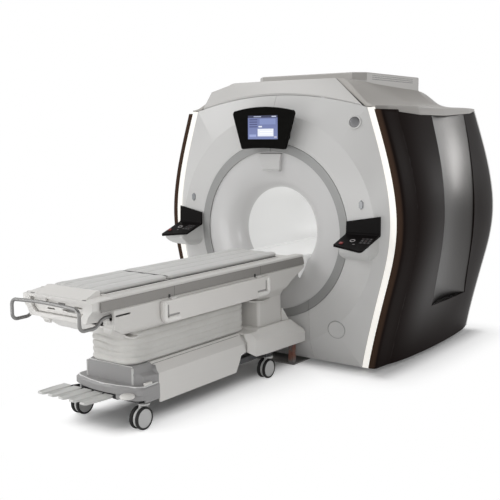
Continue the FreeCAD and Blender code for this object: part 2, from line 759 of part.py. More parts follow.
def dome(x, low, high):
    """The middle of an arc from (x, low) to the axis at height high, square to the axis."""
    centre = (high * high - low * low - x * x) / (2 * (high - low))
    radius = high - centre
    turn = math.asin(x / radius) / 2
    return (radius * math.sin(turn), centre + radius * math.cos(turn))


def build_stop_button(label, side):
    """A mushroom button that sinks a few millimetres into its seat."""
    button = new_body(label)
    sk = outline(sketch(button, "XZ_Plane"), (0, -6), (9, -6), (9, 2), (17, 2), (17, 5.5), (15, 7.5),
                 ("arc", dome(15, 7.5, 11.5), (0, 11.5)))
    turned(button, sk, "V_Axis")
    button.Placement = button_place(side)


# ================================================================= PATIENT TABLE
# the arm boards hinge on pins beside the table top: (x, z) of the pin, and y of each hinge
HINGE_X, HINGE_Z = 346, 816
HINGES = (-2500, -1560)
# the sliding column: its half-width, the y of its two ends, and how low it reaches
COLUMN, COLUMN_FOOT = (262, -1450, -1140), 398


def build_table_shell():
    """The long moulded shell of the table top, its floor pan and the telescoping column."""
    shell = new_body("table_shell")
    floor = val("shell_floor")
    foot, head = val("cradle_foot"), val("table_head")
    deck = val("rail_height") - 21
    section = front_sketch(shell, foot, "Params.cradle_foot")
    outline(section, (-243, deck), (243, deck), (243, 899), ("arc", (245, 903), (249, 905)),
            (312, 905), ("arc", (321, 901), (325, 892)), (325, 826), (333, 818), (333, 706),
            ("arc", (324, 672), (294, 650)), (205, floor), (-205, floor), (-294, 650),
            ("arc", (-324, 672), (-333, 706)), (-333, 818), (-325, 826), (-325, 892),
            ("arc", (-321, 901), (-312, 905)), (-249, 905), ("arc", (-245, 903), (-243, 899)))
    outline(section, (-313, deck - 14), (313, deck - 14), (313, 822), (321, 814), (321, 708),
            ("arc", (313, 682), (288, 661)), (203, floor + 12), (-203, floor + 12), (-288, 661),
            ("arc", (-313, 682), (-321, 708)), (-321, 814), (-313, 822))
    pad(shell, section, "Params.cradle_foot - Params.table_head", reverse=True)

    under = sketch(shell, "YZ_Plane")
    outline(under, (-foot - 5, 590), (-2790, 590),
            ("curve", [(-2880, 622), (-2960, 672), (-foot - 5, 705)]))
    pocket(shell, under, midplane=True)
    chin = [(-1115, 718), (-1020, 762), (-head, 806)]
    hood = sketch(shell, "YZ_Plane")
    outline(hood, (-1510, 590), (-1500, 640), (-1470, 668), (-1185, 668), ("curve", chin),
            (-head + 5, 806), (-head + 5, 590))
    pocket(shell, hood, midplane=True)
    hood_floor = front_sketch(shell, 1505)
    box_outline(hood_floor, -290, 600, 290, 700)
    pocket(shell, hood_floor, 1505 - head + 5)
    well = sketch(shell, "XY_Plane", floor - 5)
    round_box(well, -150, -2790, 150, -1720, 60)
    pocket(shell, well, 30, reverse=True)

    pan = sketch(shell, "YZ_Plane")
    outline(pan, (-2790, floor + 2), ("curve", [(-2880, 622), (-2960, 672), (-foot, 705)]), (-foot, 717),
            ("curve", [(-2960, 684), (-2880, 634), (-2790, floor + 12)]))
    pad(shell, pan, "Params.shell_floor - 2", midplane=True)
    lip = sketch(shell, "YZ_Plane")
    outline(lip, (-1185, 668), ("curve", chin), (-head, 816), ("curve", [(y - 4, z + 9) for y, z in
            reversed(chin[:-1])]), (-1189, 677))
    pad(shell, lip, 2 * 323, midplane=True)
    add_column(shell)
    for sign in (-1, 1):
        slot = sketch(shell, "YZ_Plane", sign * 345)
        round_box(slot, -3008, 779, -2880, 791, 5.9)
        pocket(shell, slot, 30, reverse=(sign < 0))
        for y in HINGES:
            add_hinge(shell, sign, y)


def add_column(shell):
    """The sliding column under the head end: its tube, the brim and the flare above it."""
    x, y0, y1 = COLUMN
    low, brim, flare = COLUMN_FOOT, 600, 705

    def plan(z, grow=0, rear=0):
        return round_box(sketch(shell, "XY_Plane", z), -x - grow, y0 - rear, x + grow, y1, 24)
    lofted(shell, [plan(brim + 12), plan(flare, 60, 50)])
    ledge = sketch(shell, "XY_Plane", brim)
    outline(ledge, (-210, y0 - 50), (210, y0 - 50), (x + 34, y0 + 10), (x, y0 + 160), (-x, y0 + 160),
            (-x - 34, y0 + 10))
    pad(shell, ledge, 12)
    tube = plan(low)
    pad(shell, tube, "Params.rail_height - 35 - %g" % low)
    wall = sketch(shell, "XY_Plane", low - 1)
    round_box(wall, -x + 10, y0 + 10, x - 10, y1 - 10, 14)
    pocket(shell, wall, "Params.rail_height - 45 - %g" % low, reverse=True)


def add_hinge(shell, sign, y):
    """A clip on the table's side: a plate, two ears and the pin between them."""
    x, z, r = sign * HINGE_X, HINGE_Z, 4.5
    plate = sketch(shell, "YZ_Plane", sign * 330)
    box_outline(plate, y - 30, z - 7, y + 30, z + 9)
    pad(shell, plate, 7.4, reverse=(sign < 0))
    for end in (y - 29, y + 23):
        ear = front_sketch(shell, -end)
        outline(ear, (x, z - r), ("arc", (x + sign * r, z), (x, z + r)), (sign * 331, z + r),
                (sign * 331, z - r))
        pad(shell, ear, 6, reverse=True)
    pin = front_sketch(shell, -(y - 26))
    circle(pin, x, z, 3)
    pad(shell, pin, 52, reverse=True)


def build_side_rails():
    """The darker strip along each side of the table top, one pair."""
    strip = new_body("rail_strip")
    sk = sketch(strip, "YZ_Plane", val("rail_half"), "Params.rail_half")
    outline(sk, (-3120, 826.5), (-925, 826.5), ("arc", (-931, 860), (-950, 890)), (-3120, 890))
    pad(strip, sk, "Params.strip_thick + 1")
    softened(strip, 3, lambda p, e: p.x > val("rail_half") + 6 and e.Length > 500)
    pair_of("side_rails", strip)


def build_end_cap():
    """The foot end of the table top, with its recess and four slots."""
    cap = new_body("end_cap")
    foot, tip = val("cradle_foot"), val("table_foot")

    def profile(depth, half, top, low, expression):
        sk = front_sketch(cap, depth, expression)
        return outline(sk, (-half, top), (-half * 0.5, top + 5), (half * 0.5, top + 5), (half, top),
                       (half, 838), (half - 38, 800), (half - 56, low), (-half + 56, low),
                       (-half + 38, 800), (-half, 838))
    lofted(cap, [profile(foot, 324, 900, 752, "Params.cradle_foot"),
                 profile(tip, 308, 888, 758, "Params.table_foot")])
    ramp = sketch(cap, "YZ_Plane")
    outline(ramp, (-foot, 890), (-foot, 932), (-foot - 30, 934), (-tip + 30, 896), (-tip + 30, 885))
    pad(cap, ramp, "Params.cradle_half * 2 - 30", midplane=True)
    recess = front_sketch(cap, tip + 10)
    outline(recess, (-248, 876), (248, 876), (228, 812), (196, 782), (-196, 782), (-228, 812))
    pocket(cap, recess, 45)
    step = front_sketch(cap, tip - 35)
    outline(step, (-228, 870), (-120, 870), (-120, 846), (-60, 846), (-60, 826), (60, 826),
            (60, 806), (190, 806), (190, 786), (-190, 786), (-222, 814))
    pad(cap, step, "Params.ring_thick")
    slots = front_sketch(cap, tip + 10)
    for x, z in ((-75, 812), (10, 840), (60, 816), (150, 838)):
        round_box(slots, x - 34, z - 5, x + 34, z + 5, 4.9)
    pocket(cap, slots, 70)


def rounded_path(corners, radii):
    """A wire of straight runs joined by tangent arcs, one radius for each inner corner."""
    edges, here = [], corners[0]
    for before, corner, after, radius in zip(corners, corners[1:], corners[2:], radii):
        back, on = (before - corner).normalize(), (after - corner).normalize()
        half = back.getAngle(on) / 2
        reach = radius / math.tan(half)
        start, end = corner + back * reach, corner + on * reach
        middle = corner + (back + on).normalize() * (radius / math.sin(half) - radius)
        edges.append(Part.LineSegment(here, start).toShape())
        edges.append(Part.Arc(start, middle, end).toShape())
        here = end
    edges.append(Part.LineSegment(here, corners[-1]).toShape())
    return Part.Wire(edges)


def build_push_handle():
    """A bent tube: two legs that slide into the table top and a bowed cross bar."""
    leg = [V(-300, -2830, 785), V(-300, -3080, 785), V(-300, -3140, 737), V(-300, -3265, 737),
           V(-300, -3265, 866)]
    corners = leg + [V(0, -3265, 880)] + [V(-p.x, p.y, p.z) for p in reversed(leg)]
    bends = [60, 60, 36, 40]
    path = doc.addObject("Part::Feature", "handle_path")
    path.Shape = rounded_path(corners, bends + [3000] + bends[::-1])
    ring = doc.addObject("Part::Circle", "handle_ring")
    ring.setExpression("Radius", "Params.handle_tube / 2")
    ring.Placement = FreeCAD.Placement(leg[0], FreeCAD.Rotation(V(1, 0, 0), 90))
    handle = doc.addObject("Part::Sweep", "push_handle")
    handle.Label = "push_handle"
    handle.Sections = [ring]
    handle.Spine = (path, [])
    handle.Solid = True


def build_side_board():
    """An arm board that hangs on the table's side, with a curved grip at each lower end."""
    board = new_body("side_board_right")
    x, high = 338, val("board_high")
    top = 811
    low = top - high
    sk = sketch(board, "YZ_Plane", x)
    outline(sk, (-2612, top), (-2620, top - 10), (-2620, low + 62),
            ("arc", (-2602, low + 18), (-2558, low)),
            (-1502, low), ("arc", (-1458, low + 18), (-1440, low + 62)), (-1440, top - 10),
            (-1448, top))
    pad(board, sk, "Params.board_thick")
    softened(board, 6, lambda p, e: p.x > x + 23.9)
    for sign, y in ((1, -2620), (-1, -1440)):
        grip = sketch(board, "YZ_Plane", x + val("board_thick") + 2)
        s = sign
        outline(grip, (y + s * 44, 786), (y + s * 44, 716), ("arc", (y + s * 51, 697), (y + s * 72, 688)),
                (y + s * 160, 688), (y + s * 160, 700), (y + s * 74, 700),
                ("arc", (y + s * 60, 706), (y + s * 56, 718)), (y + s * 56, 786))
        pocket(board, grip, 15)
    for y in HINGES:
        barrel = front_sketch(board, -y + 22)
        circle(barrel, HINGE_X, HINGE_Z, 7)
        pad(board, barrel, 44, reverse=True)
        bore = front_sketch(board, -y + 23)
        circle(bore, HINGE_X, HINGE_Z, 3.4)
        pocket(board, bore, 46)


def build_cradle():
    """The sliding cradle and its two pads."""
    cradle = new_body("cradle")
    half = val("cradle_half")
    low = val("rail_height") - 21 + 0.4
    high = low + val("cradle_thick") - 2
    sk = front_sketch(cradle, val("cradle_foot") - 1)
    outline(sk, (-half, low), (half, low), (half, high - 8),
            ("arc", (half - 2, high - 2), (half - 8, high)),
            (-half + 8, high), ("arc", (-half + 2, high - 2), (-half, high - 8)))
    pad(cradle, sk, "Params.cradle_foot - 1 - Params.cradle_head", reverse=True)
    nose = sketch(cradle, "XY_Plane", 1000)
    for s in (-1, 1):
        outline(nose, (s * half, -1140), (s * (half - 40), -1100), (s * (half + 5), -1095),
                (s * (half + 5), -1140))
    pocket(cradle, nose)

    seam = val("pad_seam")
    for label, y0, y1 in (("pad_foot", -val("cradle_foot") + 6, -seam - 3),
                          ("pad_head", -seam + 3, -val("cradle_head") - 8)):
        cushion = new_body(label)
        sk = front_sketch(cushion, -y0)
        edge, top = half - 10, high + val("pad_thick")
        grooves = []
        for x in (118, 0, -118):
            grooves += [(x + 7, top), (x, top - 6), (x - 7, top)]
        outline(sk, (-edge, high), (edge, high), (edge, top - 10),
                ("arc", (edge - 3, top - 3), (edge - 10, top)),
                *grooves, (-edge + 10, top), ("arc", (-edge + 3, top - 3), (-edge, top - 10)))
        pad(cushion, sk, y1 - y0, reverse=True)
    ends = sketch(cushion, "XY_Plane", 1100)
    for s in (-1, 1):
        outline(ends, (s * half, -1140), (s * (half - 46), y1), (s * (half + 5), y1 + 9),
                (s * (half + 5), -1140))
    pocket(cushion, ends)


# ================================================================== TABLE BASE
CASTERS = {"foot_left": (-1, "caster_foot"), "foot_right": (1, "caster_foot"),
           "head_left": (-1, "caster_head"), "head_right": (1, "caster_head")}
PEDALS = [-332, -234, -136, -38, 60]
PEDAL_Y, PEDAL_Z = -2822, 200


def build_table_frame():
    """Welded tube frame under the base covers, with the pedal shaft across its foot end."""
    frame = new_body("table_frame")
    z = val("frame_height")
    plan = sketch(frame, "XY_Plane", z, "Params.frame_height")
    for x in (-215, 215):
        box_outline(plan, x - 30, -2760, x + 30, -960)
    pad(frame, plan, "Params.side_wall * 2")
    cross = sketch(frame, "XY_Plane", z, "Params.frame_height")
    box_outline(cross, -262, -2760, 262, -2700)
    pad(frame, cross, "Params.side_wall * 2")
    cross = sketch(frame, "XY_Plane", z, "Params.frame_height")
    box_outline(cross, -285, -1390, 285, -1310)
    pad(frame, cross, "Params.side_wall * 2")
    middle = sketch(frame, "XY_Plane", z, "Params.frame_height")
    box_outline(middle, -215, -2340, 215, -2160)
    pad(frame, middle, "Params.side_wall * 2")
    gaps = [(a + b) / 2 for a, b in zip(PEDALS, PEDALS[1:])]
    for x in gaps + [PEDALS[-1] + 49]:
        bracket = sketch(frame, "YZ_Plane", x)
        outline(bracket, (-2756, 168), (-2756, 204), ("curve", [(-2800, 210), (PEDAL_Y, 212)]),
                ("arc", (PEDAL_Y - 12, PEDAL_Z), (PEDAL_Y, 188)), (-2800, 176))
        pad(frame, bracket, "Params.strip_thick", midplane=True)
    shaft = sketch(frame, "YZ_Plane", PEDALS[0] - 44)
    circle(shaft, PEDAL_Y, PEDAL_Z, 5)
    pad(frame, shaft, PEDALS[-1] - PEDALS[0] + 96)


def build_pedals():
    """Five flat foot pedals side by side on one shaft."""
    for number, x in enumerate(PEDALS, start=1):
        pedal = new_body("foot_pedal_%d" % number)
        tip = PEDAL_Y - val("pedal_long")
        side = sketch(pedal, "YZ_Plane")
        outline(side, (PEDAL_Y + 10, PEDAL_Z), ("arc", (PEDAL_Y, PEDAL_Z + 10), (PEDAL_Y - 10, PEDAL_Z)),
                (PEDAL_Y - 10, PEDAL_Z - 6), ("arc", (PEDAL_Y + 3, PEDAL_Z - 9.5), (PEDAL_Y + 10, PEDAL_Z)))
        pad(pedal, side, "Params.pedal_wide - 4", midplane=True)
        blade = sketch(pedal, "YZ_Plane")
        outline(blade, (PEDAL_Y - 4, PEDAL_Z + 8), (PEDAL_Y - 60, PEDAL_Z + 10), (tip + 14, PEDAL_Z + 14),
                ("arc", (tip + 1, PEDAL_Z + 9), (tip + 8, PEDAL_Z)), (PEDAL_Y - 60, PEDAL_Z - 5),
                (PEDAL_Y - 6, PEDAL_Z - 7))
        pad(pedal, blade, "Params.pedal_wide", midplane=True)
        taper = sketch(pedal, "XY_Plane", PEDAL_Z + 60)
        half = val("pedal_wide") / 2
        for s in (-1, 1):
            outline(taper, (s * (half + 1), PEDAL_Y - 90), (s * (half - 9), tip + 22),
                    (s * (half - 22), tip - 2), (s * (half + 1), tip - 2))
        pocket(pedal, taper)
        tread = sketch(pedal, "XY_Plane", PEDAL_Z + 30)
        round_box(tread, -half + 14, tip + 20, half - 14, PEDAL_Y - 60, 8)
        pocket(pedal, tread, 20)
        bore = sketch(pedal, "YZ_Plane")
        circle(bore, PEDAL_Y, PEDAL_Z, 5.5)
        pocket(pedal, bore, midplane=True)
        pedal.Placement.Base = V(x, 0, 0)


def skirt_outline(sk, wall=0.0):
    """The base's cross-section, wide at the floor and narrow under the bellows."""
    low, top = 142 - wall, val("skirt_top") - wall
    half = val("skirt_half") - wall
    return outline(sk, (half, low), (half - 6, 210), (half - 26, 325), (half - 40, 340),
                   (half - 76, top - 10), ("arc", (half - 82, top - 3), (half - 92, top)),
                   (-half + 92, top), ("arc", (-half + 82, top - 3), (-half + 76, top - 10)),
                   (-half + 40, 340), (-half + 26, 325), (-half + 6, 210), (-half, low))


def build_base_covers():
    """The white skirt, the grey foot cover and the white fairing at the docking end."""
    top = val("skirt_top")
    skirt = new_body("base_skirt")
    pad(skirt, skirt_outline(front_sketch(skirt, 2600)), 2600 - 1640, reverse=True)
    pocket(skirt, skirt_outline(front_sketch(skirt, 2601), 9))
    arch = sketch(skirt, "YZ_Plane")
    outline(arch, (-1794, 130), (-1708, 248), ("arc", (-1701, 256), (-1690, 259)), (-1630, 259),
            (-1630, 130))
    pocket(skirt, arch, midplane=True)
    well = sketch(skirt, "XY_Plane", top + 5)
    box_outline(well, -150, -2610, 150, -1720)
    pocket(skirt, well, 30)

    cover = new_body("foot_cover")
    half = val("skirt_half")

    def tier(depth, wide, narrow, high):
        sk = front_sketch(cover, depth)
        return outline(sk, (wide, 255), (wide - 8, 325), (narrow + 14, 345), (narrow, high - 8),
                       (narrow - 10, high), (-narrow + 10, high), (-narrow, high - 8),
                       (-narrow - 14, 345), (-wide + 8, 325), (-wide, 255))
    lofted(cover, [tier(2600.5, half - 8, 226, top), tier(2700, 262, 214, top),
                   tier(2752, 214, 200, top - 6)])

    def tread(z, inset):
        side, front = half - inset, 2790 - inset
        return outline(sketch(cover, "XY_Plane", z), (-side, -2600.5), (-side - 4, -2735),
                       ("arc", (-side + 8, -front + 15), (-side + 40, -front)),
                       ("arc", (0, -front - 48), (side - 40, -front)),
                       ("arc", (side - 8, -front + 15), (side + 4, -2735)), (side, -2600.5))
    lofted(cover, [tread(222, 3), tread(228, 0), tread(262, 0), tread(276, 11)])
    sides = sketch(cover, "XY_Plane", 170)
    for s in (-1, 1):
        outline(sides, (s * half, -2600.5), (s * (half + 2), -2735), (s * (half - 12), -2735),
                (s * (half - 12), -2600.5))
    pad(cover, sides, 58)
    corner = sketch(cover, "XY_Plane", 190)
    outline(corner, (122, -2822), ("arc", (195, -2807), (257, -2787)), ("arc", (290, -2766), (302, -2735)),
            (288, -2735), ("arc", (279, -2759), (252, -2775)), ("arc", (190, -2796), (122, -2810)))
    pad(cover, corner, 38)
    cavity = front_sketch(cover, 2600)
    outline(cavity, (half - 12, 221), (half - 22, 315), (205, 335), (196, top - 14), (-196, top - 14),
            (-205, 335), (-half + 22, 315), (-half + 12, 221))
    pocket(cover, cavity, 86, reverse=True)


def build_head_fairing():
    """The moulded end that meets the gantry: an apron over the casters, a sloping top with
    a mouth for the sliding column, and a ramp behind the column."""
    fairing = new_body("head_fairing")
    foot, head = 1639.5, val("table_head") + 5
    # station: y, half-width, lower edge, crease, half-width of the flat top, its height
    stations = [(foot, 300, 259, 352, 272, 394), (1585, 336, 222, 366, 286, 394),
                (1514, 340, 220, 360, 290, 394), (1498, 341, 219, 358, 292, 408),
                (1440, 343, 217, 352, 292, 408), (1140, 345, 212, 328, 290, 404),
                (1046, 345, 210, 316, 284, 396), (head, 345, 208, 306, 302, 318)]

    def slice_at(depth, wide, low, crease, top, high, wall=0):
        low -= 4 * wall
        return outline(front_sketch(fairing, depth), (wide - wall, low), (wide - wall, crease - 22),
                       (wide - 16 - wall, crease - 0.8 * wall), (top - wall, high - wall),
                       (wall - top, high - wall), (16 + wall - wide, crease - 0.8 * wall),
                       (wall - wide, crease - 22), (wall - wide, low))
    lofted(fairing, [slice_at(*station) for station in stations])
    depths = [foot + 1] + [station[0] for station in stations[1:-1]] + [head + 12]
    lofted(fairing, [slice_at(y, *station[1:], wall=10) for y, station in zip(depths, stations)], cut=True)
    x, y0, y1 = COLUMN
    mouth = sketch(fairing, "XY_Plane", 420)
    round_box(mouth, -x - 3.5, y0 - 3.5, x + 3.5, y1 + 3.5, 27.5)
    pocket(fairing, mouth, 40)
    ramp = sketch(fairing, "YZ_Plane")
    outline(ramp, (y1 + 3.5, 390), (y1 + 3.5, 500), (y1 + 12, 500), (-1046, 398), (-1046, 388))
    pad(fairing, ramp, 2 * x, midplane=True)


def build_lift():
    """The hydraulic lift: a cylinder on the frame and a post under the table top."""
    cylinder = new_body("lift_cylinder")
    top = 560
    sk = sketch(cylinder, "YZ_Plane")
    sk.AttachmentOffset.Base = V(-2250, 0, 0)
    z = val("frame_height") + 2 * val("side_wall")
    outline(sk, (66.5, z + 14), (66.5, top - 20), (66, top - 20), (66, top), (92, top), (92, top - 24),
            (80, top - 24), (80, z + 20), (120, z + 20), (120, z), (0, z), (0, z + 14))
    turned(cylinder, sk, "V_Axis")
    post = new_body("lift_post")
    sk = sketch(post, "YZ_Plane")
    sk.AttachmentOffset.Base = V(-2250, 0, 0)
    deck = val("rail_height") - 35
    outline(sk, (0, 425), (65.5, 425), (65.5, deck - 16), (140, deck - 16), (140, deck), (0, deck))
    turned(post, sk, "V_Axis")


def build_bellows():
    """The pleated cover between base and table top."""
    bellows = new_body("bellows")
    low, high = val("skirt_top"), val("shell_floor")
    pleats = 5
    step = (high - low) / (2 * pleats)
    rings = []
    for k in range(2 * pleats + 1):
        grow = 0 if k % 2 == 0 else 17
        half = val("bellows_half") - 8 + grow
        sk = sketch(bellows, "XY_Plane", low + k * step)
        rings.append(round_box(sk, -half, -2744 - grow, half, -1530 + grow, 90 + grow))
    lofted(bellows, rings)
    holes = sketch(bellows, "XY_Plane", low - 1)
    round_box(holes, -half + 14, -2732, half - 14, -1542, 70)
    pocket(bellows, holes, reverse=True)


def build_casters():
    """Four twin-wheel casters: a swivelling fork and a pair of wheels on one axle."""
    r, trail = val("wheel_radius"), val("caster_trail")
    top = val("frame_height") - 0.4
    for name, (side, station) in CASTERS.items():
        x, y = side * val("caster_half"), -val(station)
        fork = new_body("caster_fork_" + name)
        web = sketch(fork, "YZ_Plane")
        outline(web, (34, top), (34, top - 14), ("curve", [(26, 130), (4, 96), (16 - trail, r - 2)]),
                ("arc", (-trail, r - 18), (-trail - 16, r)),
                ("curve", [(-trail - 22, 110), (-38, top - 14)]), (-38, top))
        pad(fork, web, "Params.wheel_wide - 4", midplane=True)
        plate = sketch(fork, "XY_Plane", top)
        circle(plate, 0, 0, 38)
        pad(fork, plate, "Params.ring_thick - 4", reverse=True)
        axle = sketch(fork, "YZ_Plane")
        circle(axle, -trail, r, 7.5)
        pocket(fork, axle, midplane=True)
        fork.Placement.Base = V(x, y, 0)
        fork.setExpression("Placement.Base.y", "-Params." + station)

        wheel = new_body("caster_wheel_" + name)
        sk = sketch(wheel, "XZ_Plane")
        half = [(36, 0), (36, 15), (33, 17), (33, 52), (37, 56), (37, 66), (34, 72.5), (27, r),
                (22, r), (15, 72.5), (12.5, 66), (12.5, 7)]
        outline(sk, *half, *flipped(half))
        turned(wheel, sk, "H_Axis")
        wheel.Placement.Base = V(x, y - trail, r)
        wheel.setExpression("Placement.Base.z", "Params.wheel_radius")


def build_dock_anchor():
    """The steel docking anchor on the floor under the front cover, with two posts."""
    anchor = new_body("dock_anchor")
    plan = sketch(anchor, "XY_Plane")
    outline(plan, (-260, -965), (260, -965), (260, -500), (-260, -500))
    pad(anchor, plan, "Params.ring_thick - 2")
    posts = sketch(anchor, "XY_Plane")
    for x in (-225, 225):
        box_outline(posts, x - 22, -958, x + 22, -916)
    pad(anchor, posts, "Params.bed_height + 5")


# ===================================================================== ASSEMBLY
build_front_covers()
build_trim_ring()
build_flares()
build_sides()
build_light_strips()
build_fascia()
build_turret()
build_slopes()
build_rear_cover()
build_magnet()
build_bridge()
build_display()
build_small_fittings()
for hand, way in (("right", 1), ("left", -1)):
    build_control_panel("control_panel_" + hand, way)
    build_stop_button("stop_button_" + hand, way)
build_brackets()
build_table_shell()
build_side_rails()
build_end_cap()
build_push_handle()
build_side_board()
mirrored("side_board_left", doc.getObject("side_board_right"))
build_cradle()
build_table_frame()
build_pedals()
build_base_covers()
build_head_fairing()
build_lift()
build_bellows()
build_casters()
build_dock_anchor()
doc.recompute()

NODES = ["front_cover_right", "front_cover_left", "front_cover_lower", "trim_ring",
         "front_flare", "bore_liner", "rear_flare", "side_cover_right", "side_cover_left",
         "side_insets", "light_strips", "top_fascia", "turret_cover", "top_slopes",
         "rear_cover", "magnet_vessel", "gradient_coil", "body_coil", "cold_head",
         "magnet_base", "bore_bridge", "display_housing", "display_screen",
         "camera_housing", "cover_sensors", "control_panel_right", "control_panel_left",
         "stop_button_right", "stop_button_left", "panel_brackets", "table_shell",
         "side_rails", "end_cap", "push_handle", "side_board_right", "side_board_left",
         "cradle", "pad_foot", "pad_head", "table_frame", "base_skirt", "foot_cover",
         "head_fairing", "lift_cylinder", "lift_post", "bellows", "dock_anchor"]
NODES += ["foot_pedal_%d" % k for k in range(1, 6)]
NODES += ["caster_%s_%s" % (kind, name) for name in CASTERS for kind in ("fork", "wheel")]

for item in doc.Objects:
    bad = [state for state in item.State if state in ("Invalid", "Error")]
    if bad:
        raise RuntimeError("%s is %s" % (item.Label, bad))

os.makedirs("parts", exist_ok=True)
for name in NODES:
    shape = doc.getObject(name).Shape
    if shape.isNull() or not shape.isValid():
        raise RuntimeError("%s has no valid shape" % name)
    shape.exportStep("parts/%s.step" % name)
print(len(NODES), "nodes written")
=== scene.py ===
# %% [markdown]
# # A wide-bore medical scanner with a docked patient table
#
# The solids come ready from the CAD model: covers, bore, roof, table, casters and
# every joint. This lesson dresses them. It gives each piece the finish that the real
# one has, and it adds what is soft or small: the vinyl pads, the pleated bellows, the
# twin-wheel casters' tyres, the keys on the trays and the fittings on the covers.

import json
import math

import bmesh
import bpy
import numpy as np
from mathutils import Matrix, Vector
from mathutils.bvhtree import BVHTree


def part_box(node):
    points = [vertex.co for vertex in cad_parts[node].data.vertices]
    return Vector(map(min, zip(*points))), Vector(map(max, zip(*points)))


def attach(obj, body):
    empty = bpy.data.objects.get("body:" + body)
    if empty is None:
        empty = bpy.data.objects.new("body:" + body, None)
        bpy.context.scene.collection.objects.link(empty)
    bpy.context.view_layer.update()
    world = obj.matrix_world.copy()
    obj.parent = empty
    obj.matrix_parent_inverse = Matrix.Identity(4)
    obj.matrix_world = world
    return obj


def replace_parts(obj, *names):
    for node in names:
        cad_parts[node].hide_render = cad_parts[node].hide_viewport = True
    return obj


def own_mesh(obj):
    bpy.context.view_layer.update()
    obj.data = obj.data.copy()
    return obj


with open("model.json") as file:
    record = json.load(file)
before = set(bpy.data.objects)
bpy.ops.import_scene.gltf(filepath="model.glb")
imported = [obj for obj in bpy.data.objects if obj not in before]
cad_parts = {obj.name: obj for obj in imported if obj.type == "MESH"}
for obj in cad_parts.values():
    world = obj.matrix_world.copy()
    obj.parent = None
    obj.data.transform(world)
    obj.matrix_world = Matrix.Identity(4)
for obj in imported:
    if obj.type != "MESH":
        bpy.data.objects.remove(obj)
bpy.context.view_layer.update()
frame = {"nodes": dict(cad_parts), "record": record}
solids = frame["nodes"]
print("solids:", len(solids))

# %% [markdown]
# ## Shader maths as plain Python
#
# A finish is a small network of shader nodes. Wiring each Math node by hand hides the
# idea behind it, so one class wraps a socket: adding, multiplying or comparing two of
# them adds the Math node that does it. Every other node comes from one method of a node
# tree, whether the tree belongs to a material or to the world.

# %% Sockets that can be added and multiplied
class Wire:
    """An output socket; an expression on wires adds the Math nodes that work it out."""

    def __init__(self, network, socket):
        self.network, self.socket = network, socket

    def maths(self, operation, *values):
        sockets = dict(enumerate(values))
        return self.network.node("ShaderNodeMath", {"operation": operation}, sockets)

    def __add__(self, other):
        return self.maths("ADD", self, other)

    def __sub__(self, other):
        return self.maths("SUBTRACT", self, other)

    def __rsub__(self, other):
        return self.maths("SUBTRACT", other, self)

    def __mul__(self, other):
        return self.maths("MULTIPLY", self, other)

    def __gt__(self, other):
        return self.maths("GREATER_THAN", self, other)

    def __lt__(self, other):
        return self.maths("LESS_THAN", self, other)

    def __abs__(self):
        return self.maths("ABSOLUTE", self)

    def __pow__(self, other):
        return self.maths("POWER", self, other)

    def wave(self):
        return self.maths("SINE", self)

    def least(self, other):
        return self.maths("MINIMUM", self, other)

    def most(self, other):
        return self.maths("MAXIMUM", self, other)

    def between(self, low, high):
        """1 where the value lies between two bounds, 0 elsewhere."""
        return (self > low) * (self < high)

    def ramp(self, low, high):
        """0 at low, 1 at high, smooth between them and clamped outside."""
        settings = {"interpolation_type": "SMOOTHSTEP"}
        return self.network.node("ShaderNodeMapRange", settings, {0: self, 1: low, 2: high})

    __radd__ = __add__
    __rmul__ = __mul__


class Network:
    """A node tree, with one method that adds nodes to it."""

    def __init__(self, tree, main):
        self.tree, self.shader = tree, tree.nodes[main]

    def plug(self, socket, value, node=None):
        """Gives a socket of a node, or of the main shader, a number, a colour or a wire."""
        target = (node or self.shader).inputs[socket]
        if isinstance(value, Wire):
            self.tree.links.new(value.socket, target)
        else:
            target.default_value = value

    def node(self, kind, settings=None, sockets=None, out=0):
        """Any node: its settings first, then its sockets; it returns one output."""
        made = self.tree.nodes.new(kind)
        for name, value in (settings or {}).items():
            setattr(made, name, value)
        for name, value in (sockets or {}).items():
            self.plug(name, value, made)
        return Wire(self, made.outputs[out])

    def mix(self, share, first, second):
        """A shader between two shaders."""
        return self.node("ShaderNodeMixShader", sockets={0: share, 1: first, 2: second})

    def seen(self):
        """1 for a ray from the camera, off something glossy or through something clear."""
        camera, glossy, clear = (self.node("ShaderNodeLightPath", out="Is %s Ray" % kind)
                                 for kind in ("Camera", "Glossy", "Transmission"))
        return camera.most(glossy).most(clear)


class Finish(Network):
    """One material: a Principled shader, its constants, and the nodes that feed it."""

    def __init__(self, name, colour, rough, **constants):
        self.material = bpy.data.materials.new(name)
        self.material.use_nodes = True
        super().__init__(self.material.node_tree, "Principled BSDF")
        self.plug("Base Color", (*colour, 1))
        self.plug("Roughness", rough)
        for socket, value in constants.items():
            self.plug(socket.replace("_", " "), value)

    def place(self):
        """The point on the piece, in metres, in the object's own frame."""
        return self.node("ShaderNodeTexCoord", out="Object")

    def axes(self):
        """The same point as three separate wires."""
        split = self.node("ShaderNodeSeparateXYZ", sockets={0: self.place()})
        return [Wire(self, split.socket.node.outputs[k]) for k in range(3)]

    def noise(self, scale, detail=2.0, stretch=(1, 1, 1)):
        """Smooth noise between 0 and 1; stretch squeezes it along the axes."""
        where = self.node("ShaderNodeMapping", sockets={0: self.place(), 3: stretch})
        return self.node("ShaderNodeTexNoise", sockets={
            "Vector": where, "Scale": scale, "Detail": detail})

    def blend(self, share, first, second):
        """A colour between two colours."""
        return self.node("ShaderNodeMix", {"data_type": "RGBA"},
                         {0: share, 6: first, 7: second}, out=2)

    def vary(self, share, first, second):
        """Lets the base colour run between two colours of three numbers each."""
        self.plug("Base Color", self.blend(share, (*first, 1), (*second, 1)))

    def relief(self, height, strength=0.2, distance=0.001):
        """Turns a height into shading relief."""
        self.plug("Normal", self.node("ShaderNodeBump", sockets={
            "Height": height, "Strength": strength, "Distance": distance}))


